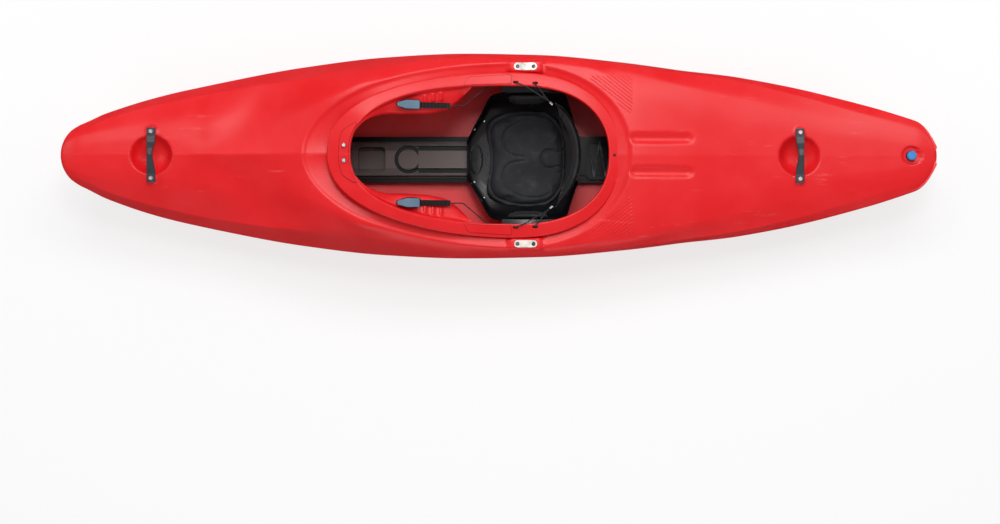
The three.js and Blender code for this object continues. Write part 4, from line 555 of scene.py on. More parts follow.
# %% [markdown]
# ## Step 6. What is sunk into the deck
#
# The mould puts a dish round the cockpit, a round bowl for the hand under each grab handle, two
# flutes behind the cockpit and a small dish round the drain plug. Pads for the handles and blocks
# for the side plates stand up. Each is a height over the plan. Taking the lower or the higher of two
# heights with a soft changeover gives the rounded edges that such a mould always has.

# %% Relief of the deck
HANDLE_SPAN, BOWL_RADIUS, BOWL_RISE = 0.137, 0.064, 0.02
PAD_RADIUS, PAD_FOOT, PAD_RISE, PAD_FALL = 0.014, 0.024, 0.0045, 0.02
DRAIN_X, DRAIN_RADIUS, DRAIN_DEPTH = (0.9702 - 0.5) * LENGTH, 0.026, 0.006
FLUTE = ((0.6531 - 0.5) * LENGTH, (0.714 - 0.5) * LENGTH, 0.05, 0.019, 0.008)
PLATE_X, PLATE_Y = RIM_MIDDLE + 0.034, RIM[0] + 0.0175
BLOCK_TOP = deck_height(PLATE_X, DISH[0]) + 0.006
BLOCK = (PLATE_X - 0.048, PLATE_X + 0.048, PLATE_Y - 0.014, PLATE_Y + 0.0155, 0.008)


def soft_min(a, b, reach):
    """The lower of two heights, rounded over where they are close."""
    h = max(reach - abs(a - b), 0) / reach
    return min(a, b) - h * h * reach / 4


def soft_max(a, b, reach):
    return -soft_min(-a, -b, reach)


def smooth(low, high, value):
    """0 below low, 1 above high, and a smooth step between."""
    share = min(1, max(0, (value - low) / (high - low)))
    return share * share * (3 - 2 * share)


def dish_floor(angle):
    """Height of the dish where it meets the rim's wall, on one side of the cockpit."""
    edge = oval_radius(DISH_TABLE, angle)
    return deck_height(RIM_MIDDLE + edge * math.cos(angle), edge * math.sin(angle)) - DISH_DEPTH


def cockpit_dish(x, y, z):
    """The dish round the rim: a step down at its edge, and a slope to the rim's wall."""
    radius = math.hypot(x - RIM_MIDDLE, y)
    angle = math.atan2(y, x - RIM_MIDDLE)
    edge = oval_radius(DISH_TABLE, angle)
    if radius > edge + 0.006:
        return z
    wall = oval_radius(WALL_TABLE, angle)
    share = min(1, max(0, (radius - wall) / (edge - wall)))
    floor = dish_floor(angle) + (DISH_DEPTH - DISH_STEP) * share
    low = soft_min(z, floor, 0.004)
    return low + (z - low) * smooth(-0.004, 0.005, radius - edge)


# %% The finished deck
HANDLE_HEIGHTS = [(x, deck_height(x, 0) + BOWL_RISE, deck_height(x, HANDLE_SPAN / 2) + PAD_RISE)
                  for x in HANDLES.values()]
DRAIN_FLOOR = deck_height(DRAIN_X, 0) - DRAIN_DEPTH
FLUTE_ENDS = [(x, deck_height(x, FLUTE[2]) + FLUTE[3] - FLUTE[4]) for x in FLUTE[:2]]


def deck_relief(x, y, z):
    """Height of the finished deck over a place where the bare deck is at z."""
    if -0.6 < x < 0.42:
        z = cockpit_dish(x, y, z)
    for x0, bowl_height, pad_top in HANDLE_HEIGHTS:
        away = math.hypot(x - x0, y)
        if away < BOWL_RADIUS:
            z = soft_min(z, bowl_height - math.sqrt(BOWL_RADIUS ** 2 - away ** 2), 0.0012)
        pad = math.hypot(x - x0, abs(y) - HANDLE_SPAN / 2)
        if pad < PAD_FOOT:
            z = soft_max(z, pad_top - PAD_FALL * smooth(PAD_RADIUS - 0.001, PAD_FOOT, pad), 0.002)
    away = math.hypot(x - DRAIN_X, y)
    if away < 0.04:
        z += (DRAIN_FLOOR - z) * (1 - smooth(DRAIN_RADIUS - 0.002, DRAIN_RADIUS + 0.003, away))
    (x0, z0), (x1, z1) = FLUTE_ENDS
    if x0 - 0.03 < x < x1 + 0.03:
        share = min(1, max(0, (x - x0) / (x1 - x0)))
        away = math.hypot(x - x0 - share * (x1 - x0), abs(y) - FLUTE[2])
        if away < FLUTE[3]:
            z = soft_min(z, z0 + share * (z1 - z0) - math.sqrt(FLUTE[3] ** 2 - away ** 2), 0.0014)
    front, rear, inner, outer, corner = BLOCK
    if front - 0.02 < x < rear + 0.02:
        dx = max(front + corner - x, x - rear + corner, 0)
        dy = max(inner + corner - abs(y), abs(y) - outer + corner, 0)
        rim = math.hypot(dx, dy) - corner
        if rim < 0.008:
            z = soft_max(z, BLOCK_TOP - 0.03 * smooth(0.0, 0.008, rim), 0.002)
    return z


print("block top", round(BLOCK_TOP, 4), "drain dish", round(DRAIN_FLOOR, 4))

# %% [markdown]
# ## Step 7. The hull's skin
#
# The real hull is one hollow moulding. Here a flat grid is rolled round the boat: one direction of
# the grid runs along the boat, and the other runs round a section. Corners of the section are
# rounded as they come out of a mould. The rows stand closer together where the deck has small
# shapes. Then the cockpit is opened, and its edge is drawn onto the middle of the rim's wall. A
# second, coarser skin is moved inwards by the wall's thickness, and is the inside that shows
# through the cockpit.

# %% Section of the hull
def corner_points(before, corner, after, reach, steps):
    """A soft corner: a quadratic curve that leaves each side a short reach from the corner."""
    start = corner + (before - corner).normalized() * min(reach, 0.45 * (before - corner).length)
    end = corner + (after - corner).normalized() * min(reach, 0.45 * (after - corner).length)
    curve = []
    for k in range(steps):
        t = k / (steps - 1)
        curve.append(start * (1 - t) ** 2 + corner * (2 * t * (1 - t)) + end * t * t)
    return curve


def between(a, b, count):
    """Points strictly between two points."""
    return [a.lerp(b, (k + 1) / (count + 1)) for k in range(count)]


def edged_deck(x, line, y):
    """The deck with its edge crease crisp at bow and stern: a steep band outside a gently domed deck."""
    soft = along(line["deck"], y)
    crisp = max(smooth(-0.5, -0.62, x), smooth(0.38, 0.5, x))
    if crisp == 0:
        return soft
    (bend_y, bend_z), (crease_y, crease_z), (edge_y, edge_z) = line["deck"][2:]
    slope = (crease_z - bend_z) / (crease_y - bend_y)
    dome = along(line["deck"][:4], y) if y < crease_y else crease_z + slope * 1.1 * (y - crease_y)
    band = crease_z + (edge_z - crease_z) / (edge_y - crease_y) * (y - crease_y)
    return soft + (soft_min(dome, band, 0.0022) - soft) * crisp


def half_section(x, side_count, deck_count):
    """The section's starboard half, from the keel round to the middle of the deck."""
    line = hull_lines(x)
    chine = Vector((line["floor"] + CHINE_WIDTH, line["keel"] + CHINE_HEIGHT))
    sheer = Vector((line["half"], line["sheer"]))
    keel, floor = Vector((0, line["keel"])), Vector((line["floor"], line["keel"]))
    side = sheer - chine
    knuckle = chine + Vector((side.x * line["out"], side.y * line["up"]))
    crease = Vector(line["deck"][3])
    soft = (knuckle - chine).length
    corners = [corner_points(keel, floor, chine, 0.01, 4), corner_points(floor, chine, knuckle, 0.01, 4),
               corner_points(chine, knuckle, sheer, 0.4 * soft, 8),
               corner_points(knuckle, sheer, crease, 0.01, 6)]
    points = [keel] + between(keel, corners[0][0], 4)
    for number, corner in enumerate(corners):
        points += corner
        if number < 3:
            points += between(corner[-1], corners[number + 1][0], 1 if number == 0 else side_count)
    shoulder = crease.x * 0.995
    start = points[-1].x
    for share in (0.34, 0.6, 0.76, 0.87, 0.94, 0.98, 1):
        y = start + (shoulder - start) * share
        points.append(Vector((y, deck_relief(x, y, edged_deck(x, line, y)))))
    for k in range(deck_count):
        y = shoulder * (1 - ((k + 1) / deck_count) ** 1.12)
        points.append(Vector((y, deck_relief(x, y, edged_deck(x, line, y)))))
    distance = END - abs(x)
    roundness = math.sqrt(max(0, 1 - (1 - min(1, distance / CAP)) ** 2))
    middle = (line["keel"] + line["ridge"]) / 2
    return [Vector((p.x * roundness, middle + (p.y - middle) * roundness)) for p in points]


# %% Places along the boat
def hull_places(count, cap_count):
    """Places along the boat: closer together over the small shapes, and towards the round ends."""
    x = np.linspace(-END + CAP, END - CAP, 1500)
    weight = np.ones_like(x)
    for near, reach, extra in ((HANDLES["bow"], 0.08, 0.7), (HANDLES["stern"], 0.08, 0.7),
                               (-0.627, 0.02, 2.0), (DRAIN_X, 0.03, 1.5), (-0.53, 0.06, 0.4),
                               (0.4, 0.1, 0.3)):
        weight += extra * (np.abs(x - near) < reach)
    travelled = np.concatenate([[0], np.cumsum(weight[1:] * np.diff(x))])
    inner = np.interp(np.linspace(0, travelled[-1], count), travelled, x)
    cap = [END - CAP * (1 - math.cos(k / cap_count * math.pi / 2)) for k in range(cap_count)]
    return [-v for v in cap] + [float(v) for v in inner] + list(reversed(cap))


# %% Rolling a grid round the boat
def rolled_grid(rings, closed=True):
    """A grid with one row for each ring, moved onto the rings; closed joins its first and last side."""
    bm = bmesh.new()
    rows, count = len(rings) - 1, len(rings[0])
    columns = count if closed else count - 1
    bmesh.ops.create_grid(bm, x_segments=rows, y_segments=columns, size=0.5)
    for vert in bm.verts:
        row, column = round((vert.co.x + 0.5) * rows), round((vert.co.y + 0.5) * columns)
        vert.co = rings[row][column % count]
    bmesh.ops.remove_doubles(bm, verts=bm.verts[:], dist=1e-6)
    return bm


# %% Making a piece
def finish_piece(bm, name, material, body, smooth_angle, outward=True):
    """Makes an object of a mesh, smooth between faces that meet at a low angle."""
    if outward:
        bmesh.ops.recalc_face_normals(bm, faces=bm.faces[:])
    for face in bm.faces:
        face.smooth = True
    for edge in bm.edges:
        if len(edge.link_faces) == 2 and edge.calc_face_angle(0) > smooth_angle:
            edge.smooth = False
    piece = object_of(bm, name)
    piece.data.materials.append(material)
    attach(piece, body)
    return piece


def close_holes(bm):
    """Fills each open end of a rolled grid with one face."""
    bmesh.ops.holes_fill(bm, edges=[edge for edge in bm.edges if edge.is_boundary], sides=0)


def add_bmesh(target, bm):
    """Adds a bmesh, which is used up, to another one."""
    spare = bpy.data.meshes.new("spare")
    bm.to_mesh(spare)
    bm.free()
    target.from_mesh(spare)
    bpy.data.meshes.remove(spare)


# %% Rolling the hull and opening its cockpit
def hull_skin(places, side_count, deck_count):
    rings = []
    for x in places:
        half = half_section(x, side_count, deck_count)
        ring = half + [Vector((-p.x, p.y)) for p in reversed(half[1:-1])]
        rings.append([Vector((x, p.x, p.y)) for p in ring])
    return rolled_grid(rings)


def open_cockpit(bm, table, drop):
    """Takes away the faces inside an oval, and draws the cut edge onto it."""
    inside = []
    for face in bm.faces:
        spot = face.calc_center_median()
        radius = math.hypot(spot.x - RIM_MIDDLE, spot.y)
        if radius < oval_radius(table, math.atan2(spot.y, spot.x - RIM_MIDDLE)) and spot.z > 0.19:
            inside.append(face)
    bmesh.ops.delete(bm, geom=inside, context="FACES")
    for vert in bm.verts:
        if vert.is_boundary:
            angle = math.atan2(vert.co.y, vert.co.x - RIM_MIDDLE)
            reach = oval_radius(table, angle)
            vert.co = Vector((RIM_MIDDLE + reach * math.cos(angle), reach * math.sin(angle),
                              dish_floor(angle) - drop))


# %% Outer and inner skin
FOOT_BOLT_X, FOOT_BOLT_Z, POCKET_SEAT = -0.62694, 0.14, 0.2347

skin = hull_skin(hull_places(380, 11), 11, 48)
for vert in skin.verts:  # pockets for the footrest's bolts
    away = math.hypot(vert.co.x - FOOT_BOLT_X, vert.co.z - FOOT_BOLT_Z)
    out = abs(vert.co.y)
    if away < 0.014 and out > 0.2:
        seat = POCKET_SEAT + max(0, out - POCKET_SEAT) * smooth(0.0095, 0.0125, away)
        vert.co.y = math.copysign(min(out, seat), vert.co.y)
open_cockpit(skin, WALL_TABLE, 0.0)
lining = hull_skin(hull_places(110, 5), 3, 22)
bmesh.ops.recalc_face_normals(lining, faces=lining.faces[:])
lining.normal_update()
for vert, place in [(vert, vert.co - vert.normal * WALL) for vert in lining.verts]:
    vert.co = place
open_cockpit(lining, WALL_TABLE, WALL)
bmesh.ops.reverse_faces(lining, faces=lining.faces[:])
print("skin:", len(skin.faces), "faces; lining:", len(lining.faces))

# %% [markdown]
# The red skin is polyethylene: satin, a little waxy, with a fine orange peel, and paler where it has
# been dragged over stones. The inside is the same plastic, given a lighter red as painted light for the
# cockpit's shaded inside.

# %% Red skin
def red_skin(name, colour=RED, rubbed=0xe7242b):
    """Red polyethylene: slow patches of tone, paler scuffs, and an orange peel that stays low."""
    material, tree, shader = new_material(name)
    skin_grain = use_group(tree, GRAIN, Grain=380.0, Wave=9.0)
    patches, marks = skin_grain.outputs["Patches"], use_group(tree, SCUFFS, Scale=55.0).outputs["Mask"]
    tone = mix_colour(tree, share_of(tree, patches, 0.35), colour, rubbed)
    worn = mix_colour(tree, share_of(tree, marks, 0.3), tone, 0xf06a6c)
    rough = math_node(tree, "ADD", share_of(tree, patches, 0.05), 0.36)
    shader.inputs["Specular IOR Level"].default_value = 0.38
    set_surface(tree, shader, worn, math_node(tree, "ADD", rough, share_of(tree, marks, 0.15)),
                skin_grain.outputs["Height"], 0.3, 0.0012)
    return material


red_hull = red_skin("red_polyethylene")
red_plain = red_skin("red_trim")
# The inside's lighter red is painted light: it brightens the shaded inside of the cockpit.
red_inside_painted_light = red_skin("red_inside_painted_light", colour=0xec3c3f, rubbed=0xf15a5c)

# %% Joining skin and lining
for face in lining.faces:
    face.material_index = 1
add_bmesh(skin, lining)
bmesh.ops.bridge_loops(skin, edges=[edge for edge in skin.edges if edge.is_boundary])
hull = finish_piece(skin, "hull_skin", red_hull, "boat", smooth_angle=1.2, outward=False)
hull.data.materials.append(red_inside_painted_light)
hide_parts("hull_shell")
print("hull:", len(hull.data.polygons), "faces")

# %% [markdown]
# Behind the cockpit the mould gives a patch of slanting ribs on each side, for a hand or a knee to
# grip. Each rib is half round, a millimetre high and nine from the next. It is a short strip of
# rings that follows the deck, and the patch ends along the dish's curve.

# %% Grip ribs
GRIP = {"front": 0.262, "rear": 0.39, "inner": 0.122, "outer": 0.236, "pitch": 0.0088, "gap": 0.014}
RIB_SHAPE = ((-0.0023, -0.0005), (-0.0014, 0.0007), (0, 0.0011), (0.0014, 0.0007), (0.0023, -0.0005),
             (0, -0.0008))
ACROSS_RIBS, ALONG_RIB = Vector((0.62, 0.785)), Vector((0.785, -0.62))


def skin_height(x, y):
    """Height of the finished deck."""
    return deck_relief(x, abs(y), edged_deck(x, hull_lines(x), abs(y)))


def in_grip_patch(x, y):
    radius, angle = math.hypot(x - RIM_MIDDLE, y), math.atan2(y, x - RIM_MIDDLE)
    return (GRIP["front"] < x < GRIP["rear"] and GRIP["inner"] < y < GRIP["outer"]
            and radius > oval_radius(DISH_TABLE, angle) + GRIP["gap"])


def add_rib(target, places, side):
    """One rib through places in plan; its ends run out into the deck."""
    rings = []
    for k, place in enumerate(places):
        fade = min(1, k / 2, (len(places) - 1 - k) / 2)
        ring = []
        for out, up in RIB_SHAPE:
            x, y = place + ACROSS_RIBS * out
            ring.append(Vector((x, side * y, skin_height(x, y) + (up if up < 0 else up * fade))))
        rings.append(ring)
    bm = rolled_grid(rings)
    close_holes(bm)
    add_bmesh(target, bm)


for side, name in SIDES:
    ribs = bmesh.new()
    for number in range(40):
        start = ACROSS_RIBS * (0.245 + GRIP["pitch"] * number)
        run = [start + ALONG_RIB * (0.004 * k - 0.2) for k in range(110)]
        run = [place for place in run if in_grip_patch(place.x, place.y)]
        if len(run) > 4:
            add_rib(ribs, run, side)
    finish_piece(ribs, f"grip_ribs_{name}", red_plain, "boat", 1.2)

# %% [markdown]
# ## Step 8. The cockpit rim
#
# The spraydeck grips a lip that runs all round the cockpit: a flat band, a rolled outer lip and a
# turned-down inner edge, on a wall that stands in the dish. It is one closed section, swept round
# the ovals. Its corners are soft, as on any moulding. Two small slots on each side let the backrest's
# cords pass, and are cut with a Boolean modifier that is applied at once.

# %% Section of the rim
def rim_section(turn):
    width = rim_width(turn)
    wall_out = width - LIP_REACH
    wall_in = wall_out - WALL
    spot = rim_place(turn, wall_out, 0)
    foot = dish_floor(math.atan2(spot.y, spot.x - RIM_MIDDLE)) - WALL / 2
    runs = ((0, -MOUTH_DROP, 0.0015), (0, 0, 0.0065), (width, 0, 0.0055), (width, -LIP_HEIGHT, 0.005),
            (wall_out, -LIP_HEIGHT, 0.003), (wall_out, None, 0.0005), (wall_in, None, 0.0005),
            (wall_in, -BAND_THICK, 0.003), (BAND_THICK, -BAND_THICK, 0.003),
            (BAND_THICK, -MOUTH_DROP, 0.0015))
    spots = []
    for run, up, _ in runs:
        place = rim_place(turn, run, up or 0)
        spots.append(Vector((place.x, place.y, foot)) if up is None else place)
    ring = []
    for k, (_, _, reach) in enumerate(runs):
        ring += corner_points(spots[k - 1], spots[k], spots[(k + 1) % len(spots)], reach, 5)
    return ring


# %% Loops, and modifiers that are applied at once
def closed_loop(rings):
    """A grid that is rolled both ways: round each ring, and from the last ring back to the first."""
    return rolled_grid(rings + [rings[0]])


def applied(made):
    """The mesh of an object with its modifiers applied, as a bmesh; the object is taken away."""
    bpy.context.view_layer.update()
    shown = made.evaluated_get(bpy.context.evaluated_depsgraph_get())
    bm = bmesh.new()
    bm.from_mesh(shown.to_mesh())
    shown.to_mesh_clear()
    bpy.data.objects.remove(made)
    return bm


# %% Rim with its slots
rim_steps = 364
rim_bm = closed_loop([rim_section(2 * math.pi * k / rim_steps) for k in range(rim_steps)])
bmesh.ops.recalc_face_normals(rim_bm, faces=rim_bm.faces[:])
rim_blank = object_of(rim_bm, "rim_blank")
SLOTS = (RIM_MIDDLE + 0.001, RIM_MIDDLE + 0.058)
SLOT_RADIUS, SLOT_LONGER, SLOT_INSET = 0.0042, 0.008, 0.0105


def slot_place(side, number, forward, up):
    """A place over one of a side's two cord slots."""
    x = SLOTS[number]
    return Vector((x + forward, side * (mouth_half_width(x) + SLOT_INSET), band_height(x) + up))


cutter_bm = bmesh.new()
for number in range(len(SLOTS)):
    for side, _ in SIDES:
        made = bmesh.ops.create_cone(cutter_bm, cap_ends=True, segments=32, radius1=SLOT_RADIUS,
                                     radius2=SLOT_RADIUS, depth=0.05)
        for vert in made["verts"]:
            vert.co += slot_place(side, number, SLOT_LONGER if vert.co.x > 0 else 0, 0)
cutter = object_of(cutter_bm, "slot_cutter")
slots = rim_blank.modifiers.new("slots", "BOOLEAN")
slots.object = cutter
slots.solver = "EXACT"
rim_bm = applied(rim_blank)
bpy.data.objects.remove(cutter)
rim = finish_piece(rim_bm, "cockpit_rim", red_plain, "boat", smooth_angle=0.9, outward=False)
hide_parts("hull_shell")
print("rim:", len(rim.data.polygons), "faces")

# %% [markdown]
# ## Step 9. Plates and panels on the rim
#
# The rim's front carries a six-sided plate with two screws, and each side has a long panel let into
# the band. Each is a sheet that follows the band. The gap round each is in shade and shows as a thin
# dark line, so a slightly larger and lower sheet of dark red lies under each as painted shade.

# %% Sheets on the band
RIM_STATIONS = 52  # equal turns round the rim, counted from the stern
SHEET_EDGE = 0.0005


def band_place(turn, run, lift):
    """A place on the flat of the band, between its two rounded edges."""
    width = rim_width(turn)
    share = (run - LIP_ROUND) / (width - 2 * LIP_ROUND)
    near, far = rim_place(turn, LIP_ROUND, 0), rim_place(turn, width - LIP_ROUND, 0)
    return near + (far - near) * share + Vector((0, 0, lift))


def band_sheet(first, last, near, reach_at, top, grown, side):
    """A closed sheet on the band from one turn to another; its reach is given for each turn."""
    steps = 60
    rings = []
    for k in range(steps + 1):
        share = k / steps
        turn = side * 2 * math.pi * (first + (last - first) * share) / RIM_STATIONS
        inner, outer = near - grown, reach_at(share) + grown
        ring = [(inner, 0.0002), (inner, top - SHEET_EDGE), (inner + SHEET_EDGE, top)]
        ring += [(inner + (outer - inner) * s / 4, top) for s in (1, 2, 3)]
        ring += [(outer - SHEET_EDGE, top), (outer, top - SHEET_EDGE), (outer, 0.0002)]
        rings.append([band_place(turn, run, lift) for run, lift in ring])
    bm = rolled_grid(rings)
    close_holes(bm)
    return bm


# %% Front plate and side panels
# Dark red for the sheets under the plates: painted shade of the gap round each plate and panel.
painted_gap_shade = plastic("painted_gap_shade", 0x5a0608, 0x74090c, 0.7)
PLATE_NEAR, PANEL_NEAR = 0.0055, 0.0062


def plate_reach(share):
    return 0.014 + 0.02 * min(1, 6 * min(share, 1 - share))


def panel_reach(share):
    return 0.034 - 0.006 * (max(0, 1 - 14 * min(share, 1 - share)) ** 2)


plate_bm = band_sheet(23, 29, PLATE_NEAR, plate_reach, 0.0029, 0, 1)
front_plate = finish_piece(plate_bm, "rim_front_plate", red_plain, "boat", 0.5)
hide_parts("front_rim_plate")
gap_shade_bm = band_sheet(22.96, 29.04, PLATE_NEAR, plate_reach, 0.0009, 0.0011, 1)
finish_piece(gap_shade_bm, "rim_front_gap_shade", painted_gap_shade, "boat", 0.5)
for side, name in SIDES:
    panel_bm = band_sheet(13.07, 14.98, PANEL_NEAR, panel_reach, 0.0022, 0, side)
    panel = finish_piece(panel_bm, f"rim_side_panel_{name}", red_plain, "boat", 0.5)
    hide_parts(f"rim_panel_{name}")
    gap_shade_bm = band_sheet(13.06, 14.995, PANEL_NEAR, panel_reach, 0.0008, 0.001, side)
    finish_piece(gap_shade_bm, f"rim_side_gap_shade_{name}", painted_gap_shade, "boat", 0.5)
print("plates on the rim: 1 front, 2 sides")

# %% [markdown]
# ## Step 10. Thigh braces
#
# Under each side of the cockpit's front half a shelf hooks over the thigh. It grows out of the
# mouth's edge in a long S, swells to a hand's width and runs out again. A flat land is pressed into
# it for the ratchet, with three ribs beside it. The shelf is a grid whose far side follows a table
# of reaches, and a Solidify modifier gives it its wall.

# %% Braces
BRACE_REACH = ((-0.415, 0.002), (-0.36, 0.017), (-0.312, 0.035), (-0.288, 0.045), (-0.25, 0.055),
               (-0.203, 0.063), (-0.16, 0.06), (-0.13, 0.043), (-0.1, 0.018), (-0.085, 0.004))
BRACE_FALL = ((0, -0.005), (0.04, -0.010), (0.14, -0.0175), (0.4, -0.0215), (0.8, -0.029), (0.93, -0.033),
              (1, -0.042))
BRACE_WALL, BRACE_RIBS, RIB_HEIGHT, RIB_SPREAD = 0.0045, (-0.219, -0.196, -0.173), 0.0065, 0.0045
LAND_MIDDLE, LAND_HALF_LONG, LAND_HALF_WIDE, LAND_SLOPE = 0.009, 0.0305, 0.0125, 0.003
RATCHET_IN, RATCHET_DOWN = 0.026, 0.022
RATCHET_X = RIM_MIDDLE - 0.654 * MOUTH[1]
RATCHET_PITCH = math.atan2(band_height(RATCHET_X - 0.02) - band_height(RATCHET_X + 0.038), 0.058)
RATCHET_PLACE = Vector((RATCHET_X, mouth_half_width(RATCHET_X) - RATCHET_IN,
                        band_height(RATCHET_X) - RATCHET_DOWN))


def ratchet_frame_matrix(side):
    """The ratchet's own axes: x aft along the strap, z up from its base."""
    spot = Matrix.Translation((RATCHET_PLACE.x, side * RATCHET_PLACE.y, RATCHET_PLACE.z))
    return spot @ Matrix.Rotation(RATCHET_PITCH, 4, "Y")


def brace_height(x, inward, z):
    """Presses the ratchet's land into the shelf, and raises the ribs beside the strap."""
    local = x - RATCHET_PLACE.x
    land = RATCHET_PLACE.z - math.tan(RATCHET_PITCH) * local
    off = mouth_half_width(x) - inward - RATCHET_PLACE.y
    outside = max(abs(local / math.cos(RATCHET_PITCH) - LAND_MIDDLE) - LAND_HALF_LONG,
                  abs(off) - LAND_HALF_WIDE)
    z += (min(z, land) - z) * (1 - smooth(0, LAND_SLOPE, outside))
    middle = smooth(0.006, 0.012, inward) * (1 - smooth(0.03, 0.038, inward))
    return z + RIB_HEIGHT * middle * sum(math.exp(-((x - rib) / RIB_SPREAD) ** 2) for rib in BRACE_RIBS)


def make_brace(side):
    rings = []
    for x in np.linspace(BRACE_REACH[0][0], BRACE_REACH[-1][0], 101).tolist():
        reach = along(BRACE_REACH, x)
        ring = []
        for j in range(29):
            share = j / 28
            inward = 0.0003 + reach * (share if share < 0.93 else 0.93 + (share - 0.93) * 1.4)
            fade = smooth(0, 0.03, reach)
            z = band_height(x) - 0.006 + (along(BRACE_FALL, share) + 0.006) * fade - 0.0005
            z = brace_height(x, inward, z) if 0.03 < share < 0.94 else z
            ring.append(Vector((x, side * (mouth_half_width(x) - inward), z)))
        rings.append(ring)
    return rolled_grid(rings, closed=False)


for side, name in SIDES:
    brace_bm = make_brace(side)
    bmesh.ops.recalc_face_normals(brace_bm, faces=brace_bm.faces[:])
    if sum(face.normal.z for face in brace_bm.faces) < 0:  # the wall grows downwards
        bmesh.ops.reverse_faces(brace_bm, faces=brace_bm.faces[:])
    brace = finish_piece(brace_bm, f"thigh_hook_{name}", red_plain, "boat", 1.2, outward=False)
    wall = brace.modifiers.new("wall", "SOLIDIFY")
    wall.thickness = BRACE_WALL
    wall.offset = -1
    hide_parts(f"thigh_brace_{name}")
print("brace wall", BRACE_WALL, "m")

# %% [markdown]
# ## Step 11. Padded pieces
#
# The pads are foam in a stretched cover. Foam in a cover has no flat face except where it lies on
# something: it crowns, and its edges roll. So each pad starts as a plain closed blank, slightly
# small. The blank is remeshed into even squares and blown up as cloth for twenty frames, and no
# point may move further than a cap. Seams come after that, as grooves pressed along lines. The
# underside is pushed back up to the seat it lies on.

# %% Blowing up a blank
FRAMES = 20


def puffed(bm, name, cap, voxel=0.005):
    """Remeshes a closed blank, blows it up as cloth, and moves no point further than the cap."""
    blank = object_of(bm, name + "_blank")
    remesh = blank.modifiers.new("even_squares", "REMESH")
    remesh.mode = "VOXEL"
    remesh.voxel_size = voxel
    bm = applied(blank)
    before = [vert.co.copy() for vert in bm.verts]
    cover = object_of(bm, name + "_cover")
    cloth_fill = cover.modifiers.new("fill", "CLOTH")
    cloth_fill.settings.use_pressure = True
    cloth_fill.settings.uniform_pressure_force = 4
    cloth_fill.settings.effector_weights.gravity = 0
    cloth_fill.point_cache.frame_start = 1
    cloth_fill.point_cache.frame_end = FRAMES
    for step in range(1, FRAMES + 1):
        bpy.context.scene.frame_set(step)
    bm = applied(cover)
    bpy.context.scene.frame_set(1)
    bm.verts.ensure_lookup_table()
    for vert, start in zip(bm.verts, before):
        move = vert.co - start
        if move.length > cap:
            vert.co = start + move * (cap / move.length)
    return bm


# %% Lines for seams
def finer(bm):
    """One smooth subdivision, applied, so that a seam has points to follow."""
    piece = object_of(bm, "finer")
    level = piece.modifiers.new("finer", "SUBSURF")
    level.levels = level.render_levels = 1
    return applied(piece)


def distance_to_line(x, y, line):
    """The distance in plan from a place to a line of points."""
    best = 1.0
    for (ax, ay), (bx, by) in zip(line, line[1:]):
        length = (bx - ax) ** 2 + (by - ay) ** 2
        share = max(0, min(1, ((x - ax) * (bx - ax) + (y - ay) * (by - ay)) / max(length, 1e-12)))
        best = min(best, math.hypot(x - ax - share * (bx - ax), y - ay - share * (by - ay)))
    return best


def smooth_line(points, steps=8):
    """A curve through a few points in plan."""
    line = []
    for k in range(len(points) - 1):
        p = [Vector(points[max(0, min(len(points) - 1, k + d))]) for d in (-1, 0, 1, 2)]
        for s in range(steps):
            t = s / steps
            spot = 0.5 * (2 * p[1] + (p[2] - p[0]) * t + (2 * p[0] - 5 * p[1] + 4 * p[2] - p[3]) * t ** 2
                          + (3 * p[1] - p[0] - 3 * p[2] + p[3]) * t ** 3)
            line.append(tuple(spot))
    return line + [tuple(points[-1])]


# %% [markdown]
# The seat is one blow-moulded bucket in glossy black. Its floor is flat under the pad, its sides
# flare into wings, and its front is a low lip with a shallow oval dish and four rivets. It is a
# grid: rounded sections from wing to wing, outside and inside, one behind the other along the seat.
# Two ears stick out sideways under the deck, where bolts hold them.

# %% Sections of the seat
# Each row: station, then half floor, half brim, brim height and floor rise
SEAT_ROWS = ((-0.102, 0.03, 0.052, 0.026, 0.012), (-0.088, 0.052, 0.084, 0.034, 0.004),
             (-0.058, 0.082, 0.136, 0.058, 0), (-0.026, 0.104, 0.186, 0.108, 0),
             (0.022, 0.118, 0.192, 0.158, 0), (0.08, 0.124, 0.193, 0.176, 0), (0.14, 0.12, 0.193, 0.176, 0),
             (0.188, 0.104, 0.19, 0.16, 0), (0.214, 0.066, 0.132, 0.104, 0.004),
             (0.234, 0.044, 0.074, 0.062, 0.01))
SEAT_FRONT, SEAT_REAR = -0.1018, 0.2338
SEAT_FLOOR, SEAT_BOTTOM, SEAT_WALL = 0.0579, 0.0523, 0.005


def seat_row(x):
    """The seat's half floor, half brim, brim height and floor rise at a place, softly between rows."""
    near = [(x + d, w) for d, w in ((-0.008, 1), (-0.004, 2), (0, 3), (0.004, 2), (0.008, 1))]
    return [sum(along([(row[0], row[k]) for row in SEAT_ROWS], spot) * w for spot, w in near) / 9
            for k in (1, 2, 3, 4)]


def seat_side(x, inset):
    """Half a section of the seat, from brim to floor, moved inwards from its outer face."""
    floor_half, brim_half, brim, rise = seat_row(x)
    low, top = SEAT_BOTTOM + rise, SEAT_BOTTOM + brim
    return [(brim_half - inset, top), (brim_half - 0.003 - inset, (low + 2 * top) / 3),
            (floor_half + (brim_half - floor_half) * 0.75 - inset, low + (top - low) / 4 + inset / 2),
            (floor_half - inset / 2, low + inset)]


def seat_wall_half(x, z):
    """Half the seat's width inside its walls, at a height."""
    wall = sorted((up, half) for half, up in seat_side(x, SEAT_WALL))
    return along(wall, max(wall[0][0], z))


def seat_inside(x, y):
    """The height of the seat's inner face at a place in plan."""
    wall = seat_side(x, SEAT_WALL)[::-1]
    return along(wall, max(wall[0][0], min(wall[-1][0], abs(y))))


def seat_ring(x, inset):
    half = seat_side(x, inset)
    points = [Vector((x, y, z)) for y, z in half + [(-y, z) for y, z in reversed(half)]]
    ring = [points[0]]
    for k in range(1, len(points) - 1):
        ring += corner_points(points[k - 1], points[k], points[k + 1], 0.016, 4)
    return ring + [points[-1]]


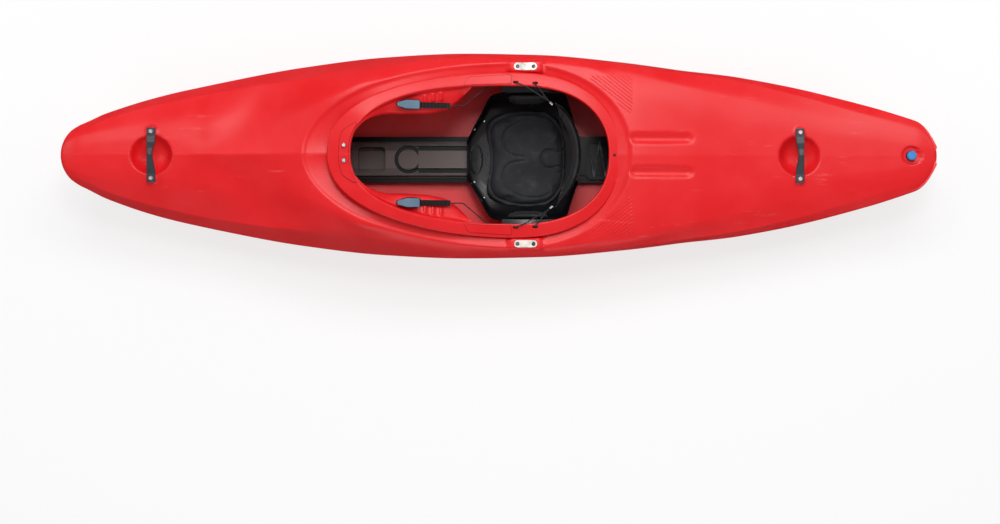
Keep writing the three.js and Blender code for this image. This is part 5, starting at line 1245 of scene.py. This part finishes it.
def make_seat_bucket():
    rings = []
    for k in range(97):
        x = SEAT_FRONT + (SEAT_REAR - SEAT_FRONT) * k / 96
        outer, inner = seat_ring(x, 0), seat_ring(x, SEAT_WALL)
        port_lip, starboard_lip = ((outer[end] + inner[end]) / 2 + Vector((0, 0, 0.0012)) for end in (-1, 0))
        rings.append(outer + [port_lip] + inner[::-1] + [starboard_lip])
    bm = rolled_grid(rings)
    close_holes(bm)
    bmesh.ops.recalc_face_normals(bm, faces=bm.faces[:])
    return bm


# %% Seat bucket with its ears and lugs
def rounded_box(bm, low, high, edge=0.0015):
    """A box between two corners, its edges rounded."""
    made = bmesh.ops.create_cube(bm, size=1)["verts"]
    for vert in made:
        vert.co = Vector([low[k] + (high[k] - low[k]) * (vert.co[k] + 0.5) for k in range(3)])
    edges = {e for vert in made for e in vert.link_edges}
    bmesh.ops.bevel(bm, geom=list(edges), offset=edge, segments=2, profile=0.5, affect="EDGES",
                    material=-1)


seat_gloss = plastic("seat_gloss_black", 0x0b0c0f, 0x15171b, 0.26, specular=0.35)
bucket = finish_piece(make_seat_bucket(), "seat_bucket", seat_gloss, "seat", 0.9,
                      outward=False)
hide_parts("seat_pan")
# An ear and a lug on each side, as the lower and upper corners of two boxes to starboard
SEAT_BOXES = (((0.0045, 0.188, 0.2272), (0.1435, 0.2755, 0.2308)),
              ((0.2145, 0.0512, 0.066), (0.2375, 0.0568, 0.1595)))
for side, name in SIDES:
    ear = bmesh.new()
    for low, high in SEAT_BOXES:
        near, far = sorted((side * low[1], side * high[1]))
        rounded_box(ear, (low[0], near, low[2]), (high[0], far, high[2]))
    piece = finish_piece(ear, f"seat_ear_and_lug_{name}", seat_gloss, "seat", 0.6)
    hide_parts("seat_pan")

# %% Front ring and rivets of the seat
RING_X, RING_LONG, RING_WIDE, RING_ROUND = -0.0735, 0.0185, 0.043, 0.0028
RIVET_RADIUS = 0.0034
UP = Vector((0, 0, 1))
ring_grid = []
for k in range(96):
    turn = 2 * math.pi * k / 96
    out = Vector((math.cos(turn), math.sin(turn), 0))
    x, y = RING_X + RING_LONG * out.x, RING_WIDE * out.y
    foot = Vector((x, y, seat_inside(x, y) + 0.0004))
    ring_grid.append([foot + RING_ROUND * (out * math.cos(a) + UP * math.sin(a))
                      for a in (2 * math.pi * j / 12 for j in range(12))])
dish_ring = finish_piece(closed_loop(ring_grid), "seat_front_ring", seat_gloss, "seat", 1.2)
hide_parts("seat_pan")
rivets = bmesh.new()
for x, y in ((-0.079, 0.1), (-0.049, 0.116), (-0.079, -0.07), (-0.049, -0.118)):
    y = math.copysign(min(abs(y), seat_wall_half(x, 0.2) - 0.006), y)
    for vert in bmesh.ops.create_uvsphere(rivets, u_segments=16, v_segments=8, radius=RIVET_RADIUS)["verts"]:
        vert.co = Vector((vert.co.x + x, vert.co.y + y, vert.co.z * 0.5 + seat_inside(x, y) + 0.0006))
finish_piece(rivets, "seat_front_rivets", steel, "seat", 0.8)
print("seat bucket:", len(bucket.data.polygons), "faces")

# %% [markdown]
# The seat pad fills the seat's floor and laps up its walls. In plan it has two lobes at the front,
# under the thighs, with a dip between them. It has two hollows, and at the back a tongue that a seam
# sets off. Its outline below is half of the pad, from the dip at the front to the tongue.

# %% Blank of the seat pad
PAD_HALF = ((-0.04, 0.0), (-0.041, 0.02), (-0.044, 0.045), (-0.049, 0.075), (-0.047, 0.104), (-0.034, 0.126),
            (-0.008, 0.142), (0.035, 0.155), (0.09, 0.158), (0.135, 0.153), (0.17, 0.135), (0.194, 0.102),
            (0.206, 0.058), (0.209, 0.0))


def pad_height(x, y):
    """The blank's top: lobes under the thighs, hollows behind them and a raised tongue."""
    hollow = sum(math.exp(-((x - 0.092) / 0.075) ** 2 - ((y - s * 0.056) / 0.046) ** 2) for s in (-1, 1))
    lobes = sum(math.exp(-((x + 0.002) / 0.042) ** 2 - ((y - s * 0.082) / 0.04) ** 2) for s in (-1, 1))
    valley = math.exp(-((x + 0.03) / 0.05) ** 2 - (y / 0.035) ** 2)
    flank = smooth(0.08, 0.12, abs(y))
    flat = SEAT_FLOOR + 0.0235 - 0.0085 * hollow + 0.009 * lobes - 0.004 * valley + 0.006 * flank
    return max(flat, seat_inside(x, y) + 0.009)


def pad_blank(outline, low_at, high_at, rings=9):
    """A closed blank over an outline in plan, drawn in at its edge above and below."""
    middle = sum(x for x, _ in outline) / len(outline)
    grid = []
    for k in range(-rings, rings + 1):
        share = 1 - (abs(k) / rings) ** 1.6
        shrink = share * (0.985 if k == 0 else 1)
        edge = math.sqrt(max(0, 1 - share ** 5))
        ring = []
        for x, y in outline:
            px, py = middle + (x - middle) * shrink, y * shrink
            low, high = low_at(px, py), high_at(px, py)
            mid = low + (high - low) * 0.45
            ring.append(Vector((px, py, mid + ((high if k > 0 else low) - mid) * edge)))
        grid.append(ring)
    bm = rolled_grid(grid)
    bmesh.ops.remove_doubles(bm, verts=bm.verts[:], dist=0.0004)
    bmesh.ops.recalc_face_normals(bm, faces=bm.faces[:])
    return bm


# %% Seat pad with its seams
pad_half = smooth_line(PAD_HALF, 6)
pad_outline = pad_half[:-1] + [(x, -y) for x, y in reversed(pad_half)][:-1]
pad_blank_outline = [(x * 0.985 + 0.001, y * 0.985) for x, y in pad_outline]
pad_bm = finer(puffed(pad_blank(pad_blank_outline, lambda x, y: seat_inside(x, y) + 0.0006,
                                lambda x, y: pad_height(x, y) - 0.002), "seat_pad", 0.006))
EDGE_SEAM = [(0.082 + (x - 0.082) * 0.86, y * 0.87) for x, y in pad_outline]
EDGE_SEAM.append(EDGE_SEAM[0])
TONGUE_SEAM = smooth_line([(0.2, 0.034), (0.178, 0.022), (0.158, 0.027), (0.136, 0.024), (0.124, 0.0),
                           (0.136, -0.024), (0.158, -0.027), (0.178, -0.022), (0.2, -0.034)])
BOWL_SEAMS = [smooth_line([(0.15, s * 0.105), (0.115, s * 0.118), (0.06, s * 0.112), (0.02, s * 0.088),
                           (0.008, s * 0.05), (0.026, s * 0.016), (0.07, s * 0.006)]) for s in (-1, 1)]
# Each seam: its lines, its depth and its half width
SEAT_SEAMS = (([EDGE_SEAM], 0.0042, 0.0028), ([TONGUE_SEAM], 0.0045, 0.003), (BOWL_SEAMS, 0.003, 0.0035))
for vert in pad_bm.verts:
    x, y = vert.co.x, vert.co.y
    if vert.co.z > seat_inside(x, y) + 0.006:
        vert.co.z -= sum(depth * math.exp(-(distance_to_line(x, y, line) / width) ** 2)
                         for lines, depth, width in SEAT_SEAMS for line in lines)
    vert.co.z = max(vert.co.z, seat_inside(x, y) + 0.0004)
seat_cushion = finish_piece(pad_bm, "seat_cushion", pad_cloth, "seat", 1.4)
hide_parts("seat_pad")
print("seat pad:", len(seat_cushion.data.polygons), "faces")

# %% [markdown]
# The hip pads are thick blocks against the seat's side walls, their inner faces domed. The backrest
# is a curved plastic band with a pad on its front, sewn into channels that follow the band.

# %% Hip pads
def block_blank(place, rings=17, around=28):
    """A closed rounded block: place(along, turn, size) gives its points."""
    grid = []
    for k in range(rings + 1):
        share = k / rings
        size = (1 - abs(2 * share - 1) ** 4) ** 0.5 if 0 < k < rings else 0.02
        grid.append([place(share, 2 * math.pi * j / around, size) for j in range(around)])
    bm = rolled_grid(grid)
    bmesh.ops.remove_doubles(bm, verts=bm.verts[:], dist=0.0003)
    close_holes(bm)
    bmesh.ops.recalc_face_normals(bm, faces=bm.faces[:])
    return bm


HIP_FRONT, HIP_LONG, HIP_LEVEL, HIP_HALF, HIP_THICK = 0.02, 0.126, 0.164, 0.044, 0.0175
HIP_WALL_AT = 0.06  # the station whose wall both hip pads lean on


def make_hip_pad(side, name):
    def place(share, turn, size):
        z = HIP_LEVEL + HIP_HALF * size ** 0.6 * squarish(math.sin(turn), 4)
        inward = (1 + squarish(math.cos(turn), 3)) / 2 * HIP_THICK * size
        return Vector((HIP_FRONT + HIP_LONG * share,
                       side * (seat_wall_half(HIP_WALL_AT, z) - 0.0015 - inward), z))

    bm = finer(puffed(block_blank(place), f"hip_{name}", 0.0045))
    for vert in bm.verts:
        spot = vert.co
        face_in = smooth(0.010, 0.014, seat_wall_half(HIP_WALL_AT, spot.z) - side * spot.y)
        ring = max(abs(spot.x - HIP_FRONT - HIP_LONG / 2) / 0.058, abs(spot.z - HIP_LEVEL) / 0.042)
        spot.y += side * 0.003 * face_in * math.exp(-((ring - 0.76) / 0.05) ** 2)
        spot.y = side * min(seat_wall_half(HIP_WALL_AT, spot.z) - 0.0008, side * spot.y)
    pad = finish_piece(bm, f"hip_cushion_{name}", back_cloth, "seat", 1.4)
    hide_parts(f"hip_pad_{name}")


for side, name in SIDES:
    make_hip_pad(side, name)

# %% Backrest pad
BACK_CENTRE, BACK_RADIUS, BACK_SPREAD = 0.029, 0.205, 0.87
BACK_PAD_RADIUS = BACK_RADIUS - 0.0046


def back_top(turn):
    share = max(0, (abs(turn) - 0.28) / (BACK_SPREAD - 0.28))
    return 0.262 + 0.073 * math.sqrt(max(0, 1 - share * share))


def back_low(turn):
    return 0.205 + 0.014 * (turn / BACK_SPREAD) ** 2


def back_pad_place(share, turn, size):
    angle = BACK_SPREAD * 0.985 * (2 * share - 1)
    low, top = back_low(angle) + 0.003, back_top(angle) - 0.0085
    middle, half = (low + top) / 2, (top - low) / 2
    z = middle + half * size ** 0.4 * squarish(math.sin(turn), 5)
    depth = (1 + squarish(math.cos(turn), 3)) / 2 * 0.0135 * size
    radius = BACK_PAD_RADIUS - depth
    return Vector((BACK_CENTRE + radius * math.cos(angle), radius * math.sin(angle), z))


back_bm = finer(puffed(block_blank(back_pad_place, 40, 32), "back_pad", 0.0045, 0.0045))
for vert in back_bm.verts:
    spot = vert.co
    angle = math.atan2(spot.y, spot.x - BACK_CENTRE)
    radius = math.hypot(spot.x - BACK_CENTRE, spot.y)
    low, top = back_low(angle), back_top(angle) - 0.005
    share = (spot.z - low) / (top - low)
    channels = sum(math.exp(-((share - line) / 0.028) ** 2) for line in (0.25, 0.5, 0.75))
    across = math.exp(-((abs(angle) - 0.62) / 0.018) ** 2)
    front_face = smooth(0.008, 0.012, BACK_PAD_RADIUS - radius)
    radius += 0.0035 * front_face * max(channels * (1 - smooth(0.58, 0.62, abs(angle))), across)
    radius = min(radius, BACK_RADIUS - 0.0044)
    spot.x, spot.y = BACK_CENTRE + radius * math.cos(angle), radius * math.sin(angle)
    spot.z = min(spot.z, top + 0.001)
back_cushion = finish_piece(back_bm, "backrest_cushion", back_cloth, "backrest", 1.4)
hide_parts("backrest_pad")
print("backrest pad:", len(back_cushion.data.polygons), "faces")

# %% [markdown]
# ## Step 12. Foam blocks
#
# Two upright foam pillars keep the deck off the hull, and a thick foam pad faces the footrest. They
# are sawn from closed-cell sheet: the cut edges are crisp, then worn round. They keep the shape the
# frame gives them. Each is a merged copy with rounded edges.

# %% Foam blocks
FOAM_EDGE = 0.003


def merged_copy(node_name):
    """A copy of a part's mesh with its doubled corners merged, as a bmesh."""
    bm = bmesh.new()
    bm.from_mesh(nodes[node_name].data)
    bmesh.ops.remove_doubles(bm, verts=bm.verts[:], dist=1e-5)
    return bm


def foam_block(node_name, name, body):
    """A foam part as a piece of its own, with soft edges."""
    bm = merged_copy(node_name)
    bmesh.ops.recalc_face_normals(bm, faces=bm.faces[:])
    sharp = [edge for edge in bm.edges if len(edge.link_faces) == 2 and edge.calc_face_angle(0) > 0.7]
    bmesh.ops.bevel(bm, geom=sharp, offset=FOAM_EDGE, segments=3, profile=0.5, affect="EDGES", material=-1)
    piece = finish_piece(bm, name, foam, body, 0.9)
    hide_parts(node_name)


foam_block("bow_pillar", "bow_foam_pillar", "boat")
foam_block("stern_pillar", "stern_foam_pillar", "boat")
foam_block("footrest_foam", "footrest_foam_pad", "footrest")
print("foam blocks: 3, edges", FOAM_EDGE, "m")

# %% [markdown]
# ## Step 13. Centre rail
#
# The seat slides on a long grey rail, bolted down the middle of the hull. It is moulded in dark
# plastic with a paler, rubbed tread, and its edges are black. Shade is painted black into its keyhole's
# groove, its two long grooves and the stretch behind the seat. The tones follow the rail's own width, so
# they are bands across Y in the material. The rail keeps the frame's mesh, and a Bevel modifier rounds
# the edges that a mould, a saw or a press leaves. The last step gives the other parts that keep their
# mesh the same.

# %% Rail finish
EYE_X, NECK_X, RAIL_END_X = -0.281, -0.25, 0.2


def rail_finish():
    """Dark moulded plastic with a paler tread down the middle, black edges, and painted black shade in its
    grooves and behind the seat.
    """
    material, tree, shader = new_material("rail_moulding")
    split = add_node(tree, "SeparateXYZ", {0: object_coords(tree)})
    ahead, side = split.outputs["X"], math_node(tree, "ABSOLUTE", split.outputs["Y"])
    skin_grain = use_group(tree, GRAIN, Grain=800.0, Wave=18.0)
    marks = use_group(tree, SCUFFS, Scale=90.0)

    def times(a, b):
        return math_node(tree, "MULTIPLY", a, b)

    def larger(a, b):
        return math_node(tree, "MAXIMUM", a, b)

    def band(value, low, high, soft=0.0007):
        return times(ramp_node(tree, value, low - soft, low + soft),
                     ramp_node(tree, value, high + soft, high - soft))

    from_eye = math_node(tree, "ADD", ahead, -EYE_X)
    away = math_node(tree, "SQRT", math_node(tree, "ADD", times(from_eye, from_eye), times(side, side)))
    keyhole_groove_shade = times(band(away, 0.0315, 0.0432), ramp_node(tree, ahead, NECK_X, NECK_X - 0.002))
    neck_groove_shade = times(band(side, 0.0272, 0.041), ramp_node(tree, ahead, NECK_X - 0.002, NECK_X))
    shade_behind_seat = ramp_node(tree, ahead, RAIL_END_X, RAIL_END_X + 0.01)
    edge_band = ramp_node(tree, side, 0.0545, 0.0565)
    # Black: painted shade in the keyhole's groove, the two long grooves and behind the seat; the edge band is
    # black too.
    dark = larger(larger(keyhole_groove_shade, neck_groove_shade), larger(shade_behind_seat, edge_band))
    tread = ramp_node(tree, side, 0.028, 0.026)
    tone = mix_colour(tree, skin_grain.outputs["Patches"], 0x4e4845, 0x5a5350)
    tone = mix_colour(tree, tread, tone, 0x6c6461)
    tone = mix_colour(tree, times(marks.outputs["Mask"], 0.35), tone, 0x8a8480)
    shader.inputs["Specular IOR Level"].default_value = 0.22
    rough = math_node(tree, "SUBTRACT", 0.42, times(dark, 0.12))
    set_surface(tree, shader, mix_colour(tree, dark, tone, 0x08080a), rough, skin_grain.outputs["Height"],
                0.12, 0.0006)
    return material


# %% Finish for parts that keep their mesh
def dress(names, material, edge):
    """Gives parts that are still shown their finish and soft edges."""
    for part in (nodes[node_name] for node_name in names):
        if not part.hide_render:
            part.data.materials.clear()
            part.data.materials.append(material)
            bevel = part.modifiers.new("soft_edges", "BEVEL")
            bevel.width = edge
            bevel.segments = 2
            bevel.limit_method = "ANGLE"
            bevel.angle_limit = math.radians(35)


dress(["centre_rail"], rail_finish(), 0.0012)
print("rail:", len(nodes["centre_rail"].data.polygons), "faces")

# %% [markdown]
# ## Step 14. Ratchet trim
#
# Each ratchet's lever has a blue-grey plate in a black frame. The frame is a rounded strip that runs
# round the plate's outline. It is made in the ratchet's own axes and then set in its place, and it
# moves with the lever.

# %% Lever frames
LEVER_OUTLINE = ((-0.036, -0.005), (-0.036, 0.005), (-0.008, 0.0125), (0.03, 0.0125), (0.03, -0.0125),
                 (-0.008, -0.0125))
LEVER_MIDDLE = Vector((0.004, 0, 0))
# The frame's section: share of its width, and height over the ratchet's base
LEVER_SECTION = ((0, 0.0178), (1, 0.0178), (1, 0.0203), (0.8, 0.0211), (0.2, 0.0211), (0, 0.0203))


def lever_outline(grown):
    points = [Vector((x, y, 0)) for x, y in LEVER_OUTLINE]
    ring = []
    for k, point in enumerate(points):
        after = points[(k + 1) % len(points)]
        curve = corner_points(points[k - 1], point, after, 0.005, 5)
        ring += curve + between(curve[-1], after, 3)[:1]
    return [p + (p - LEVER_MIDDLE).normalized() * grown for p in ring]


for side, name in SIDES:
    inner, outer = lever_outline(0.0002), lever_outline(0.0030)
    rings = [[a.lerp(b, s) + Vector((0, 0, z)) for s, z in LEVER_SECTION] for a, b in zip(inner, outer)]
    frame_bm = closed_loop(rings)
    frame_bm.transform(ratchet_frame_matrix(side))
    finish_piece(frame_bm, f"lever_frame_{name}", black_gloss, f"lever_{name}", 0.9)
print("lever frames: 2")

# %% [markdown]
# ## Step 15. The rim's rear screw
#
# A dark screw holds the rim to the deck behind the cockpit. It catches the eye only as a small dark
# mark, so it is a low disc, and its top edge is bevelled round.

# %% Rear screw
SCREW_RADIUS, SCREW_HEIGHT, SCREW_SUNK = 0.0042, 0.002, 0.0006
screw = bmesh.new()
made = bmesh.ops.create_cone(screw, cap_ends=True, segments=40, radius1=SCREW_RADIUS, radius2=SCREW_RADIUS,
                             depth=SCREW_HEIGHT)["verts"]
top = [vert for vert in made if vert.co.z > 0]
top_edges = {edge for vert in top for edge in vert.link_edges if all(end in top for end in edge.verts)}
screw_spot = rim_place(0, rim_width(0) / 2, SCREW_HEIGHT / 2 - SCREW_SUNK)
bmesh.ops.translate(screw, verts=made, vec=screw_spot)
bmesh.ops.bevel(screw, geom=list(top_edges), offset=0.3 * SCREW_HEIGHT, segments=3, profile=0.5,
                affect="EDGES", material=-1)
finish_piece(screw, "rim_rear_screw", black_plastic, "boat", 0.6)
print("rear screw at x", round(screw_spot.x, 3))

# %% [markdown]
# ## Step 16. Cords
#
# Thin braided cords hold the backrest. On each side one run comes from the strap's end under the
# deck, rises through the first slot in the rim and goes to a metal crimp on the backrest's edge.
# The second run goes back from the crimp through the other slot, where a knot under the rim holds
# it. A lacing zigzags over the open frame behind the seat. Their lengths are measured on their lines.

# %% Cord helpers
def cord_line(points, reach=0.006, steps=7):
    """A line through points with its corners rounded, as a taut cord bends over an edge."""
    line = [points[0]]
    for k in range(1, len(points) - 1):
        line += corner_points(points[k - 1], points[k], points[k + 1], reach, steps)
    return line + [points[-1]]


def cord_tube(name, points, diameter, braid):
    """A round cord along a line, as a curve with a bevel."""
    curve = bpy.data.curves.new(name, "CURVE")
    curve.dimensions = "3D"
    curve.bevel_depth = diameter / 2
    curve.bevel_resolution = 4
    curve.use_fill_caps = True
    spline = curve.splines.new("POLY")
    spline.points.add(len(points) - 1)
    for point, place in zip(spline.points, points):
        point.co = (*place, 1)
    curve.materials.append(braid)
    made = bpy.data.objects.new(name, curve)
    bpy.context.scene.collection.objects.link(made)
    return made


def as_mesh(made):
    """The same cord as a mesh, smooth shaded."""
    bpy.context.view_layer.update()
    tube = bpy.data.meshes.new_from_object(made)
    name = made.name
    bpy.data.objects.remove(made)
    for polygon in tube.polygons:
        polygon.use_smooth = True
    made = bpy.data.objects.new(name, tube)
    bpy.context.scene.collection.objects.link(made)
    return made


def make_cord(name, points, diameter, replaced, strap=None, braid=cord_cloth):
    """A braided cord, with its length printed; given a strap, it is made a mesh, else it goes with the boat.
    """
    made = cord_tube(name, points, diameter, braid)
    start, path = tuple(points[0]), None
    if strap:
        made = as_mesh(made)
        path = [tuple(place) for place in points]
        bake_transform(made)
        tuple(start)
    else:
        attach(made, "boat")
    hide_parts(replaced)
    length = sum((b - a).length for a, b in zip(points, points[1:]))
    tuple(start)
    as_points(path)
    print(name, round(length, 3), "m")


# %% Backrest cords
CORD_THICK, KNOT_RADIUS, UNDER_RIM, OVER_RIM = 0.0034, 0.0042, -0.030, 0.0045
CRIMP_HALF_GAP, CRIMP_LONG, CRIMP_HEIGHT = 0.0021, 0.0064, 0.25


def over_edge(side, x, up):
    """A place over the mouth's edge."""
    return Vector((x, side * mouth_half_width(x), band_height(x) + up))


def crimp_end(side, up, ahead):
    """A place at the crimp on the backrest's wing: over its middle, and ahead of its end."""
    wing = Vector((0.028997 + 0.195003 * math.cos(BACK_SPREAD), side * 0.195003 * math.sin(BACK_SPREAD),
                   CRIMP_HEIGHT))
    heading = Vector((-math.sin(BACK_SPREAD), side * math.cos(BACK_SPREAD), 0.3)).normalized()
    return wing + heading * (0.014 + ahead) + Vector((0, 0, up))


for side, name in SIDES:
    under_edge = over_edge(side, -0.039, UNDER_RIM)
    out = cord_line([Vector((-0.1452, side * 0.14198, 0.2958)), Vector((-0.1088, side * 0.14198, 0.2818)),
                     under_edge, slot_place(side, 0, -0.006, UNDER_RIM), slot_place(side, 0, 0, -0.015),
                     slot_place(side, 0, 0.003, OVER_RIM), over_edge(side, 0.07099, OVER_RIM),
                     crimp_end(side, CRIMP_HALF_GAP, CRIMP_LONG), crimp_end(side, CRIMP_HALF_GAP, 0)])
    make_cord(f"backrest_cord_out_{name}", out, CORD_THICK, f"backrest_cord_{name}",
              f"strap_{name}")
    back = cord_line([crimp_end(side, -CRIMP_HALF_GAP, 0), crimp_end(side, -CRIMP_HALF_GAP, CRIMP_LONG),
                      over_edge(side, 0.10999, OVER_RIM), slot_place(side, 1, 0, OVER_RIM / 2),
                      slot_place(side, 1, 0, UNDER_RIM)])
    make_cord(f"backrest_cord_back_{name}", back, CORD_THICK, f"backrest_cord_{name}")
    knot = bmesh.new()
    bmesh.ops.create_uvsphere(knot, u_segments=20, v_segments=12, radius=KNOT_RADIUS)
    bmesh.ops.translate(knot, verts=knot.verts[:], vec=slot_place(side, 1, 0, UNDER_RIM - 0.0025))
    finish_piece(knot, f"backrest_cord_knot_{name}", cord_cloth, "boat", 1.2)

# %% Rear lacing
LACE_FRONT, LACE_LONG, LACE_HALF, LACE_LEVEL, LACE_RUNS = 0.268, 0.126, 0.056, 0.0606, 7
lace = [Vector((LACE_FRONT + LACE_LONG * k / LACE_RUNS, LACE_HALF * (-1) ** k, LACE_LEVEL))
        for k in range(LACE_RUNS + 1)]
make_cord("rear_lace", cord_line(lace, 0.004), 0.0038, "rear_lacing", braid=lace_cloth)

# %% [markdown]
# ## Last step. Finishes for the parts that keep their own shape, and the end
#
# The parts below are right as they came, so they keep their meshes. Each gets its finish and its
# rounded edges, as the rail did.

# %% Carried-over parts
def named(*starts):
    return [name for name in nodes if name.startswith(starts)]


# The side bolts come twice: their edges are rounded once more, and they end up dark
for names, material, edge in (
        (named("backrest_shell"), black_gloss, 0.0008),
        (named("rear_cradle"), black_plastic, 0.0012),
        (named("ratchet_frame", "ratchet_pawl", "ladder_strap"), black_plastic, 0.0003),
        (named("ratchet_lever"), slate_plastic, 0.0004),
        (named("footrest_bar", "footrest_plate"), aluminium, 0.0006),
        (named("footrest_knob", "footrest_spacer", "drain_sleeve"), black_plastic, 0.0006),
        ([name for name in nodes if "bolt" in name or "_pin" in name], steel, 0.0004),
        (named("side_plate"), plate_steel, 0.0006),
        (named("side_bolt"), dark_steel, 0.0004),
        (named("cord_crimp"), steel, 0.0005),
        (named("bow_grab", "stern_grab"), handle_plastic, 0.0012),
        (named("drain_plug"), blue_plastic, 0.0006),
        (named("drain_gasket"), rubber, 0.0003)):
    dress(names, material, edge)
print("parts still shown:", sum(not part.hide_render for part in nodes.values()))
